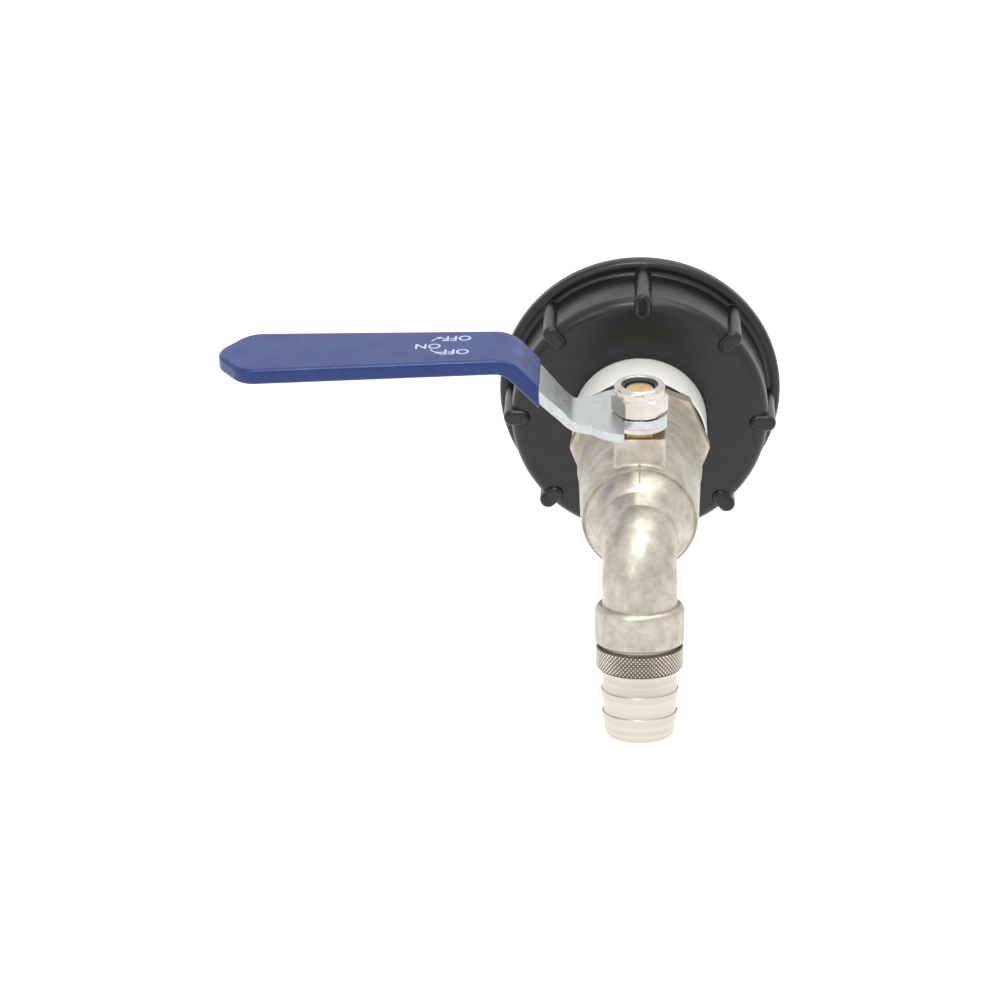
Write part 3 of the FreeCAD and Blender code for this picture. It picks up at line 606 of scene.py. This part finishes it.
# This finish paints shade on the floors of the knurl's grooves through groove_mm.
KNURLED_NICKEL = Finish("knurled_nickel", display(222, 214, 200), display(206, 196, 180), Skin.TURNED, 0.14,
                        0.002, 1.0, (0.24, 0.34), groove_mm=0.42)
BARE_BRASS = Finish("bare_brass", display(176, 150, 104), display(140, 114, 74), Skin.TURNED, 0.12, 0.003,
                    1.0, (0.26, 0.38), edge_mm=0.15)
STEM_BRASS = Finish("stem_brass", display(236, 206, 164), display(206, 170, 122), Skin.FORGED, 0.2, 0.012,
                    1.0, (0.34, 0.5), edge_mm=0.12)
LEVER_STEEL = Finish("lever_steel", display(202, 205, 206), display(192, 195, 196), Skin.ROLLED, 0.12, 0.001,
                     1.0, (0.26, 0.34), edge_mm=0.35)
NUT_STEEL = Finish("nut_steel", display(216, 210, 200), display(196, 189, 178), Skin.FORGED, 0.4, 0.004,
                   1.0, (0.10, 0.18), edge_mm=0.22)
RING_NYLON = Finish("ring_nylon", display(20, 54, 78), display(14, 42, 64), Skin.MOULDED, 0.12, 0.003,
                    0.0, (0.25, 0.35), edge_mm=0.1)
SEAT_PLASTIC = Finish("seat_plastic", display(240, 240, 236), display(230, 230, 226), Skin.TURNED, 0.15,
                      0.003, 0.0, (0.35, 0.45))
BALL_PLATE = Finish("ball_plate", display(226, 226, 224), display(216, 216, 214), Skin.TURNED, 0.2, 0.0006,
                    1.0, (0.06, 0.10), edge_mm=0.2)
SLEEVE_VINYL = Finish("sleeve_vinyl", display(8, 50, 120), display(6, 42, 108), Skin.DIPPED, 0.5, 0.03,
                      0.0, (0.24, 0.32), edge_mm=0.4)
PRINT_INK = Finish("print_ink", display(206, 214, 236), display(186, 196, 226), Skin.MOULDED, 0.1, 0.002,
                   0.0, (0.45, 0.6))


def dress(node: str, material: bpy.types.Material) -> None:
    """Give one CAD node its material.

    Args:
        node: the node's name.
        material: the material for every slot.
    """
    piece = frame["nodes"][node]
    if not piece.material_slots:
        piece.data.materials.append(material)
    for slot in piece.material_slots:
        slot.material = material
    LOG.info("dressed %s in %s", node, material.name)


def finish_piece(piece: bpy.types.Object, body: str, material: bpy.types.Material,
                 replaces: Sequence[str] = ()) -> None:
    """Put a new piece on its body, in its material.

    Args:
        piece: the new object.
        body: the body that it moves with.
        material: its material.
        replaces: CAD nodes that it stands for.
    """
    piece.data.materials.clear()
    piece.data.materials.append(material)
    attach(piece, body)
    if replaces:
        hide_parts(*replaces)
    LOG.info("made %s on %s", piece.name, body)


# ---- Coupling --------------------------------------------------------------------------------
@dataclass
class Coupling:
    """Coupling cap with its tank thread, the gasket, the insert and its seal.

    Attributes:
        thread_radius: radius of the wall that the thread stands on, in millimetres.
        thread_depth: how far the thread stands in from the wall.
        thread_pitch: rise for one turn.
        thread_from: distance of the first turn from the mouth.
        thread_to: distance of the last turn from the mouth.
        segments: steps in one turn.
    """

    thread_radius: float = 30.0
    thread_depth: float = 2.3
    thread_pitch: float = 6.0
    thread_from: float = 2.0
    thread_to: float = 11.4
    segments: int = 96

    def section(self) -> list[tuple[float, float]]:
        """Corners of the thread's section as (depth in from the wall, place along)."""
        return [(-0.05, -1.55), (self.thread_depth * 0.85, -0.75), (self.thread_depth, -0.45),
                (self.thread_depth, 0.35), (self.thread_depth * 0.85, 0.7), (-0.05, 1.45)]

    def tank_thread(self) -> bpy.types.Object:
        """Make the thread's ridge, which grows from nothing and fades out again."""
        axis = TurningAxis(Vector((0.0, 0.0, 0.0)), Vector((0.0, -1.0, 0.0)))
        turns = (self.thread_to - self.thread_from) / self.thread_pitch
        steps = round(turns * self.segments)
        section = self.section()
        points = []
        for step in range(steps + 1):
            turn = math.tau * step / self.segments
            centre = self.thread_from + self.thread_pitch * step / self.segments
            grown = smooth_step(0, 12, step) * smooth_step(0, 12, steps - step)
            for depth, along in section:
                scaled = depth * grown if depth > 0 else depth
                points.append(axis.point(self.thread_radius - scaled, turn,
                                         centre + along * (0.35 + 0.65 * grown)))
        faces = grid_faces(steps + 1, len(section), False, True)
        faces.append(tuple(range(len(section))))
        faces.append(tuple(reversed(range(steps * len(section), (steps + 1) * len(section)))))
        piece = mesh_piece("tank_thread", points, faces)
        keep_edges_sharp(piece, 35)
        return piece

    def build(self) -> None:
        """Make the thread and dress the coupling's nodes."""
        cap_material = CAP_PLASTIC.material()
        finish_piece(self.tank_thread(), "cap", cap_material)
        dress("coupling_cap", cap_material)
        rubber = SEAL_RUBBER.material()
        dress("sealing_gasket", rubber)
        dress("inlet_o_ring", rubber)
        dress("tail_washer", rubber)
        dress("thread_insert", INSERT_NYLON.material())


# ---- Tap body --------------------------------------------------------------------------------
@dataclass
class TapBody:
    """Forged body, the connector behind it and the seals inside.

    Attributes:
        flash_half_width: half the width of the forging line, in millimetres.
        flash_height: how far it stands off the forging.
        flash_step: length between its points.
        ray_reach: how far from the body the rays that find its surface start.
        dome_from_front: from the body's front to the middle of its dome.
        dome_radius: about the dome's radius.
        top_from: first angle of the upper stretch, in degrees up from the front.
        top_to: its last angle.
        under_from_front: from the body's front to the start of the lower stretch.
        under_points: number of points of the lower stretch.
    """

    flash_half_width: float = 0.26
    flash_height: float = 0.08
    flash_step: float = 0.6
    ray_reach: float = 60.0
    dome_from_front: float = 39.0
    dome_radius: float = 16.0
    top_from: float = 80.0
    top_to: float = 58.0
    under_from_front: float = 65.5
    under_points: int = 48

    def strip_on_body(self, name: str, rays: Iterable[tuple[Vector, Vector]]) -> bpy.types.Object:
        """Lay a low ridge along the places where rays meet the body.

        Args:
            name: the piece's name.
            rays: start and direction of each ray, in order along the ridge.

        Returns:
            The ridge.
        """
        node = frame["nodes"]["tap_body"]
        tree = BVHTree.FromPolygons([vertex.co for vertex in node.data.vertices],
                                    [polygon.vertices for polygon in node.data.polygons])
        points: list[Vector] = []
        side = Vector((1.0, 0.0, 0.0))
        for index, (start, way) in enumerate(rays):
            place, normal, _, _ = tree.ray_cast(start, way)
            if place is None:
                continue
            uneven = 1.0 + 0.3 * math.sin(index * 1.7) + 0.2 * math.sin(index * 0.61)
            reach = self.flash_half_width * MM * (1.0 + 0.15 * math.sin(index * 0.9))
            top = place + normal * (self.flash_height * MM * uneven)
            sunk = place - normal * (0.08 * MM)
            points += [sunk - side * reach, top - side * reach * 0.35, top + side * reach * 0.35,
                       sunk + side * reach]
        rows = len(points) // 4
        faces = grid_faces(rows, 4, False, True)
        faces.append((0, 1, 2, 3))
        faces.append(tuple(reversed(range((rows - 1) * 4, rows * 4))))
        return mesh_piece(name, points, faces)

    def fan(self, centre: Vector, start: float, end: float, radius: float) -> list[tuple[Vector, Vector]]:
        """Rays that point at a centre in the upright middle plane.

        Args:
            centre: where the rays point.
            start: first angle up from the front, in degrees.
            end: last angle, in degrees.
            radius: about how far the body's surface is from the centre, in millimetres.

        Returns:
            Start and direction of each ray.
        """
        steps = max(2, math.ceil(abs(math.radians(end - start)) * radius / self.flash_step))
        rays = []
        for step in range(steps + 1):
            angle = math.radians(start + (end - start) * step / steps)
            out = Vector((0.0, -math.cos(angle), math.sin(angle)))
            rays.append((centre + out * self.ray_reach * MM, -out))
        return rays

    def build(self) -> None:
        """Make the forging line and dress the body's nodes."""
        low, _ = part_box("tap_body")
        dome = Vector((0.0, low[1] + self.dome_from_front * MM, 0.0))
        nickel = FORGED_NICKEL.material()
        upper = self.fan(dome, self.top_from, self.top_to, self.dome_radius)
        finish_piece(self.strip_on_body("forging_line_top", upper), "tap", nickel)
        lower = [(Vector((0.0, low[1] + (self.under_from_front - self.flash_step * step) * MM,
                          -self.ray_reach * MM)), Vector((0.0, 0.0, 1.0)))
                 for step in range(self.under_points)]
        finish_piece(self.strip_on_body("forging_line_under", lower), "tap", nickel)
        dress("tap_body", nickel)
        cap_axis = TurningAxis(Vector((0.0, 0.0, 0.0)), Vector((0.0, 1.0, 0.0)))
        dress("inlet_connector", CONNECTOR_NICKEL.material())
        seats = SEAT_PLASTIC.material(cap_axis, "_seats")
        for node in ("body_seal_ring", "rear_seat", "front_seat"):
            dress(node, seats)


# ---- Stem and lever --------------------------------------------------------------------------
@dataclass
class LeverMarks:
    """The words and arrows printed on the lever's sleeve.

    Attributes:
        letter_height: height of a capital, in millimetres.
        thickness: thickness of the ink.
        line_width: width of the arrows' lines.
        arc_radius: radius of the arrows' arc.
        arc_from: where each arrow starts, in degrees from the lever's line.
        arc_to: where each arrow ends.
        head_length: length of an arrow's head.
        head_half_width: half the width of an arrow's head.
        arc_centre: centre of the arc from the stem's axis, along and across the lever.
        words: each word with its centre along and across the lever.
        capital_share: height of a capital as a share of the letters' size.
        letter_swell: how much the strokes are thickened.
        slope_reach: half the length over which the sleeve's slope is read.
        look_from: height above the origin from where the sleeve's top is looked for.
    """

    letter_height: float = 3.1
    thickness: float = 0.03
    line_width: float = 0.42
    arc_radius: float = 6.0
    arc_from: float = 27.0
    arc_to: float = 52.0
    head_length: float = 1.5
    head_half_width: float = 0.75
    arc_centre: tuple[float, float] = (49.3, 1.0)
    words: tuple[tuple[str, float, float], ...] = (("ON", 55.4, 0.6), ("OFF", 48.0, 5.5), ("OFF", 48.2, -3.5))
    capital_share: float = 0.70
    letter_swell: float = 0.06
    slope_reach: float = 3.0
    look_from: float = 100.0

    def surface(self) -> Callable[[float, float], Vector]:
        """Give the way to find a place on the sleeve's top from the stem's axis."""
        node = frame["nodes"]["lever_sleeve"]
        tree = BVHTree.FromPolygons([vertex.co for vertex in node.data.vertices],
                                    [polygon.vertices for polygon in node.data.polygons])
        foot, _ = joint_line("lever_turn")

        def place(along: float, across: float) -> Vector:
            """Place on the sleeve's top."""
            start = Vector((foot.x - along * MM, foot.y + across * MM, self.look_from * MM))
            hit, _, _, _ = tree.ray_cast(start, Vector((0.0, 0.0, -1.0)))
            return hit

        return place

    def flat_mark(self, name: str, outlines: Sequence[Sequence[tuple[float, float]]],
                  place: Callable[[float, float], Vector]) -> bpy.types.Object:
        """Make a thin raised mark from strips of points in pairs.

        Args:
            name: the piece's name.
            outlines: for each strip, its points in pairs across the line.
            place: finds a place on the sleeve.

        Returns:
            The mark.
        """
        points: list[Vector] = []
        faces: list[tuple[int, ...]] = []
        up = Vector((0.0, 0.0, self.thickness * MM))
        for outline in outlines:
            base = len(points)
            ground = [place(*spot) for spot in outline]
            points += [spot + up for spot in ground] + [spot - up for spot in ground]
            pairs, total = len(outline) // 2, len(outline)
            for pair in range(pairs - 1):
                a, b, c, d = (base + 2 * pair + shift for shift in (0, 1, 3, 2))
                faces += [(a, b, c, d), (a + total, d + total, c + total, b + total)]
                faces += [(a, d, d + total, a + total), (b, b + total, c + total, c)]
            last = base + total - 2
            faces += [(base, base + total, base + total + 1, base + 1),
                      (last, last + 1, last + 1 + total, last + total)]
        return mesh_piece(name, points, faces)

    def arrow(self, side: int) -> list[list[tuple[float, float]]]:
        """Strips of one arrow, on the side +1 or -1 of the lever's line."""
        def on_arc(degrees: float, radius: float) -> tuple[float, float]:
            """Place on a circle about the arc's centre."""
            angle = math.radians(degrees)
            return (self.arc_centre[0] + radius * math.cos(angle),
                    self.arc_centre[1] + side * radius * math.sin(angle))

        steps = 10
        half = self.line_width / 2
        line = []
        for step in range(steps + 1):
            angle = self.arc_from + (self.arc_to - self.arc_from) * step / steps
            line += [on_arc(angle, self.arc_radius - half), on_arc(angle, self.arc_radius + half)]
        tip = self.arc_to + math.degrees(self.head_length / self.arc_radius)
        head = [on_arc(self.arc_to, self.arc_radius - self.head_half_width),
                on_arc(self.arc_to, self.arc_radius + self.head_half_width),
                on_arc(tip, self.arc_radius - 0.05), on_arc(tip, self.arc_radius + 0.05)]
        return [line, head]

    def word(self, text: str, along: float, across: float, number: int,
             place: Callable[[float, float], Vector]) -> bpy.types.Object:
        """Make one word that reads from the tank's side.

        Args:
            text: the letters.
            along: its centre's distance from the stem along the lever.
            across: its centre's distance to the tank's side of the lever's line.
            number: makes the piece's name its own.
            place: finds a place on the sleeve.

        Returns:
            The word.
        """
        letters = bpy.data.curves.new("letters", "FONT")
        letters.body = text
        letters.align_x = "CENTER"
        letters.align_y = "CENTER"
        letters.size = self.letter_height * MM / self.capital_share
        letters.extrude = self.thickness * MM
        letters.offset = self.letter_swell * MM
        letters.resolution_u = 4
        source = bpy.data.objects.new("letters", letters)
        bpy.context.scene.collection.objects.link(source)
        bpy.context.view_layer.update()
        mesh = bpy.data.meshes.new_from_object(source.evaluated_get(bpy.context.evaluated_depsgraph_get()))
        bpy.data.objects.remove(source)
        near, far = (place(along + way * self.slope_reach, across) for way in (-1, 1))
        middle = place(along, across)
        right = (far - near).normalized()
        up = Vector((0.0, 0.0, 1.0)).cross(right).normalized()
        out = right.cross(up)
        turn = Matrix((right, up, out)).transposed().to_4x4()
        mesh.transform(Matrix.Translation(middle) @ turn)
        mesh.name = f"mark_{text.lower()}_{number}"
        piece = bpy.data.objects.new(mesh.name, mesh)
        bpy.context.scene.collection.objects.link(piece)
        return piece

    def build(self) -> None:
        """Print the words and both arrows."""
        ink = PRINT_INK.material()
        place = self.surface()
        for number, (text, along, across) in enumerate(self.words, 1):
            finish_piece(self.word(text, along, across, number, place), "lever", ink)
        strips = self.arrow(1) + self.arrow(-1)
        finish_piece(self.flat_mark("mark_arrows", strips, place), "lever", ink)


@dataclass
class LeverSet:
    """Stem, gland, lever, sleeve and lock nut."""

    marks: LeverMarks

    def build(self) -> None:
        """Dress the lever's nodes and print its marks."""
        foot, way = joint_line("lever_turn")
        stem_axis = TurningAxis(foot, way)
        dress("ball", BALL_PLATE.material(stem_axis))
        dress("stem", STEM_BRASS.material(stem_axis))
        dress("gland_nut", BARE_BRASS.material(stem_axis))
        seats = SEAT_PLASTIC.material(stem_axis, "_stem")
        dress("thrust_washer", seats)
        dress("stem_packing", seats)
        dress("lever_plate", LEVER_STEEL.material(TurningAxis(foot, Vector((1.0, 0.0, 0.0)))))
        dress("lever_sleeve", SLEEVE_VINYL.material())
        nut = NUT_STEEL.material()
        dress("lever_nut", nut)
        dress("lever_washer", nut)
        dress("nut_ring", RING_NYLON.material())
        self.marks.build()


# ---- Hose tail -------------------------------------------------------------------------------
@dataclass
class HoseTail:
    """Hose tail with a cut thread and a diamond-knurled ring; lengths run from the collar's end.

    Attributes:
        thread_start: where the thread's end face lies, in millimetres.
        thread_radius: radius over the thread's crests.
        thread_depth: depth of the thread.
        thread_pitch: rise for one turn.
        thread_run_out: plain length between the thread and the collar's end.
        lead_depth: depth of the chamfer at the thread's start.
        lead_length: its length.
        neck_radius: radius of the neck behind the barbs.
        gap_radius: radius between the collar and the ring.
        ring_radius: radius of the grip ring over its knurl.
        ring_start: where the grip ring starts.
        ring_end: where it ends.
        ring_chamfer: its lower chamfer.
        barbs_start: where the first barb's ledge lies.
        barb_length: length of each barb.
        barb_radius: radius of the first barb's ledge.
        barb_shrink: how much smaller the second one is.
        barb_taper: how much each barb narrows.
        tail_end: where the tail ends.
        bore_radius: radius of the bore.
        knurl_count: knurls round the ring.
        steps_per_knurl: steps of the mesh across one knurl.
        knurl_pitch: distance between rows of knurls.
        knurl_depth: depth of the knurl's grooves.
    """

    thread_start: float = -7.6
    thread_radius: float = 10.38
    thread_depth: float = 0.95
    thread_pitch: float = 1.814
    thread_run_out: float = 0.3
    lead_depth: float = 0.45
    lead_length: float = 0.9
    neck_radius: float = 9.8
    gap_radius: float = 10.0
    ring_radius: float = 11.5
    ring_start: float = 1.1
    ring_end: float = 7.1
    ring_chamfer: float = 0.7
    barbs_start: float = 12.7
    barb_length: float = 6.1
    barb_radius: float = 10.2
    barb_shrink: float = 0.27
    barb_taper: float = 0.75
    tail_end: float = 25.8
    bore_radius: float = 7.2
    knurl_count: int = 64
    steps_per_knurl: int = 10
    knurl_pitch: float = 1.2
    knurl_depth: float = 0.42

    def axis(self) -> TurningAxis:
        """The outlet's axis, from the collar's end."""
        foot, way = joint_line("tail_turn")
        return TurningAxis(foot, way)

    def profile(self) -> list[tuple[float, float]]:
        """Closed profile of the tail without its grip ring's knurl."""
        first, second = self.barb_radius, self.barb_radius - self.barb_shrink
        second_ledge = self.barbs_start + self.barb_length
        last = second - self.barb_taper
        inner = self.bore_radius
        core = self.ring_radius - 1.2
        outside = [
            (self.gap_radius, 0.0), (self.gap_radius, self.ring_start + 0.2),
            (core, self.ring_start + 0.2), (core, self.ring_end - 0.2),
            (self.neck_radius + 0.25, self.ring_end - 0.2), (self.neck_radius + 0.06, self.ring_end + 0.2),
            (self.neck_radius, self.ring_end + 0.5), (self.neck_radius, self.barbs_start - 0.15),
            (self.neck_radius + 0.05, self.barbs_start), (first - 0.12, self.barbs_start),
            (first, self.barbs_start + 0.12), (first - 0.05, self.barbs_start + 0.5),
            (first - self.barb_taper, second_ledge - 0.1), (first - self.barb_taper + 0.04, second_ledge),
            (second - 0.12, second_ledge), (second, second_ledge + 0.12), (second - 0.05, second_ledge + 0.5),
            (last + 0.15, self.tail_end - 2.6),
        ]
        rounding = 1.9
        tip = [(last - rounding + rounding * math.cos(math.radians(angle)),
                self.tail_end - rounding + rounding * math.sin(math.radians(angle)))
               for angle in range(0, 91, 10)]
        bore = [(inner + 0.2, self.tail_end), (inner, self.tail_end - 0.25)]
        thread = [(self.thread_radius, self.thread_start), (self.thread_radius, -self.thread_run_out)]
        shaped = divided(outside, 1.0) + tip + divided(bore + [(inner, self.thread_start)], 2.0)
        return divided(thread, 0.15) + shaped

    def thread_relief(self, radius: float, turn: float, along: float) -> float:
        """Cut the thread into the top of the tail."""
        if radius < self.thread_radius - 1e-6 or along > -0.25:
            return radius
        wave = triangle_wave(along / self.thread_pitch - turn / math.tau)
        groove = min(1.0, max(0.0, 1.25 * (1.0 - wave) - 0.1))
        fade = smooth_step(0.0, 0.5, -self.thread_run_out - along)
        lead = self.lead_depth * (1.0 - smooth_step(0.0, self.lead_length, along - self.thread_start))
        return radius - max(self.thread_depth * groove * fade, lead)

    def knurl_profile(self) -> list[tuple[float, float]]:
        """Closed profile of the grip ring."""
        low, high = self.ring_start, self.ring_end
        inner = self.ring_radius - 1.5
        outside = [(self.ring_radius - 0.35, low), (self.ring_radius, low + 0.35),
                   (self.ring_radius, high - self.ring_chamfer), (self.ring_radius - self.ring_chamfer, high)]
        return [(inner, low)] + divided(outside, 0.13) + [(inner, high)]

    def knurl_relief(self, radius: float, turn: float, along: float) -> float:
        """Cut the crossing grooves of the diamond knurl into the grip ring."""
        if radius < self.ring_radius - 1.0:
            return radius
        first = self.knurl_count * turn / math.tau
        second = (along - self.ring_start) / self.knurl_pitch
        crest = min(triangle_wave(first + second), triangle_wave(first - second))
        cut = 1.0 - min(1.0, 1.25 * crest)
        shallow = smooth_step(self.ring_radius - 0.55, self.ring_radius - 0.05, radius)
        return radius - self.knurl_depth * cut * shallow

    def build(self) -> None:
        """Make the tail and its knurled ring in place of the plain node."""
        axis = self.axis()
        material = TURNED_NICKEL.material(axis, "_tail")
        tail = turned_piece("tail_turned", axis, self.profile(), 144, self.thread_relief)
        keep_edges_sharp(tail, 40)
        finish_piece(tail, "tail", material, ["hose_tail"])
        steps = self.knurl_count * self.steps_per_knurl
        ring = turned_piece("tail_knurl", axis, self.knurl_profile(), steps, self.knurl_relief)
        keep_edges_sharp(ring, 50)
        # The ring's material paints shade on the floors of the knurl's grooves.
        knurled = KNURLED_NICKEL.material(axis, "_ring", self.ring_radius)
        finish_piece(ring, "tail", knurled)


# ---- Studio ----------------------------------------------------------------------------------
@dataclass
class Lamp:
    """One soft area lamp.

    Attributes:
        name: the lamp's name.
        place: where it hangs, in metres.
        size: its width and height, in metres.
        power: its power in watts.
        tint: its colour, linear.
    """

    name: str
    place: tuple[float, float, float]
    size: tuple[float, float]
    power: float
    tint: Colour = (1.0, 1.0, 1.0)

    def build(self, target: Vector) -> None:
        """Hang the lamp so that it faces a target."""
        data = bpy.data.lights.new(self.name, "AREA")
        data.shape = "RECTANGLE"
        data.size, data.size_y = self.size
        data.energy = self.power
        data.color = self.tint
        lamp = bpy.data.objects.new(self.name, data)
        lamp.location = self.place
        lamp.rotation_euler = (target - lamp.location).to_track_quat("-Z", "Y").to_euler()
        bpy.context.scene.collection.objects.link(lamp)
        LOG.info("hung lamp %s", self.name)


@dataclass
class Studio:
    """Floor, sky, lamps and camera.

    Attributes:
        floor_height: height of the floor, in metres.
        floor_reach: half the floor's side.
        floor_tone: lightness of the floor, linear.
        floor_glow: light that the floor adds where it is seen.
        sky_level: strength of the sky on the object.
        cap_height: from the cap's mouth to its face, in millimetres.
        camera_distance: from the middle of the cap's face to the camera, in metres.
        camera_elevation: height of the camera seen from there, in degrees.
        camera_pan: turn of the view to the right, in degrees.
        camera_tilt: turn of the view upwards.
        camera_roll: turn of the view about its own line.
        lens: focal length for a sensor 36 wide.
    """

    floor_height: float = -0.16
    floor_reach: float = 4.0
    floor_tone: float = 0.86
    floor_glow: float = 0.35
    sky_level: float = 0.78
    cap_height: float = 24.6
    camera_distance: float = 0.9
    camera_elevation: float = 24.4
    camera_pan: float = -2.797
    camera_tilt: float = -25.809
    camera_roll: float = -1.2185
    lens: float = 114.372
    lamps: tuple[Lamp, ...] = (
        Lamp("lamp_over", (-0.08, -0.50, 1.00), (0.32, 0.32), 3.2),
        Lamp("lamp_wide", (0.3, 0.2, 1.3), (1.2, 0.9), 5.0),
        Lamp("lamp_front", (-0.7, -1.2, 0.9), (0.5, 0.5), 1.6),
    )

    def floor(self) -> None:
        """Lay the plain pale floor."""
        reach = self.floor_reach
        corners = [Vector((x * reach, y * reach, self.floor_height))
                   for x, y in ((-1, -1), (1, -1), (1, 1), (-1, 1))]
        floor = mesh_piece("studio_floor", corners, [(0, 1, 2, 3)])
        made = bpy.data.materials.new("floor_pale")
        made.use_nodes = True
        tree = ShaderTree(made.node_tree)
        made.node_tree.nodes.clear()
        cover = tree.node("ShaderNodeBsdfDiffuse")
        cover.inputs["Color"].default_value = (*(self.floor_tone,) * 3, 1.0)
        glow = tree.node("ShaderNodeEmission")
        glow.inputs["Strength"].default_value = self.floor_glow
        seen = self.seen_directly(tree)
        lift = tree.node("ShaderNodeMixShader")
        tree.feed(lift.inputs[0], seen)
        none = tree.node("ShaderNodeEmission")
        none.inputs["Strength"].default_value = 0.0
        tree.feed(lift.inputs[1], none.outputs[0])
        tree.feed(lift.inputs[2], glow.outputs[0])
        both = tree.node("ShaderNodeAddShader")
        tree.feed(both.inputs[0], cover.outputs[0])
        tree.feed(both.inputs[1], lift.outputs[0])
        output = tree.node("ShaderNodeOutputMaterial")
        tree.feed(output.inputs["Surface"], both.outputs[0])
        floor.data.materials.append(made)

    @staticmethod
    def seen_directly(tree: ShaderTree) -> bpy.types.NodeSocket:
        """1 for rays from the camera, from gloss and through clear things, else 0."""
        rays = tree.node("ShaderNodeLightPath")
        total = tree.maths("MAXIMUM", rays.outputs["Is Camera Ray"], rays.outputs["Is Glossy Ray"])
        return tree.maths("MAXIMUM", total, rays.outputs["Is Transmission Ray"])

    def sky(self) -> None:
        """Make the white surroundings, plainer where they light the object."""
        world = bpy.data.worlds.new("white_room")
        world.use_nodes = True
        tree = ShaderTree(world.node_tree)
        backdrop = next(node for node in world.node_tree.nodes if node.type == "BACKGROUND")
        backdrop.inputs["Color"].default_value = (1.0, 1.0, 1.0, 1.0)
        strength = tree.remap(self.seen_directly(tree), 0.0, 1.0, self.sky_level, 1.0)
        tree.feed(backdrop.inputs["Strength"], strength)
        bpy.context.scene.world = world

    def camera(self) -> None:
        """Set the camera where the object is looked at from."""
        _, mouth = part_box("coupling_cap")
        face = Vector((0.0, mouth[1] - self.cap_height * MM, 0.0))
        rise = math.radians(self.camera_elevation)
        place = face + Vector((0.0, -math.cos(rise), math.sin(rise))) * self.camera_distance
        turns = (self.camera_pan, self.camera_tilt, self.camera_roll)
        pan, tilt, roll = (math.radians(value) for value in turns)
        ahead = Vector((math.sin(pan) * math.cos(tilt), math.cos(pan) * math.cos(tilt), math.sin(tilt)))
        right = Vector((math.cos(pan), -math.sin(pan), 0.0))
        up = right.cross(ahead)
        tilted_right = right * math.cos(roll) + up * math.sin(roll)
        tilted_up = up * math.cos(roll) - right * math.sin(roll)
        data = bpy.data.cameras.new("studio_camera")
        data.sensor_width = 36.0
        data.lens = self.lens
        data.clip_start = 0.01
        camera = bpy.data.objects.new("studio_camera", data)
        turn = Matrix((tilted_right, tilted_up, -ahead)).transposed().to_4x4()
        camera.matrix_world = Matrix.Translation(place) @ turn
        bpy.context.scene.collection.objects.link(camera)
        bpy.context.scene.camera = camera

    def build(self) -> None:
        """Set up the whole studio."""
        self.floor()
        self.sky()
        middle = Vector((-0.03, -0.06, 0.0))
        for lamp in self.lamps:
            lamp.build(middle)
        self.camera()
        bpy.context.scene.view_settings.view_transform = "Standard"


def main() -> None:
    """Build every sub-assembly in order, then the studio."""
    logging.basicConfig(level=logging.INFO, format="%(message)s")
    for part in (Coupling(), TapBody(), LeverSet(LeverMarks()), HoseTail(), Studio()):
        LOG.info("building %s", type(part).__name__)
        part.build()


if __name__ == "__main__":
    main()
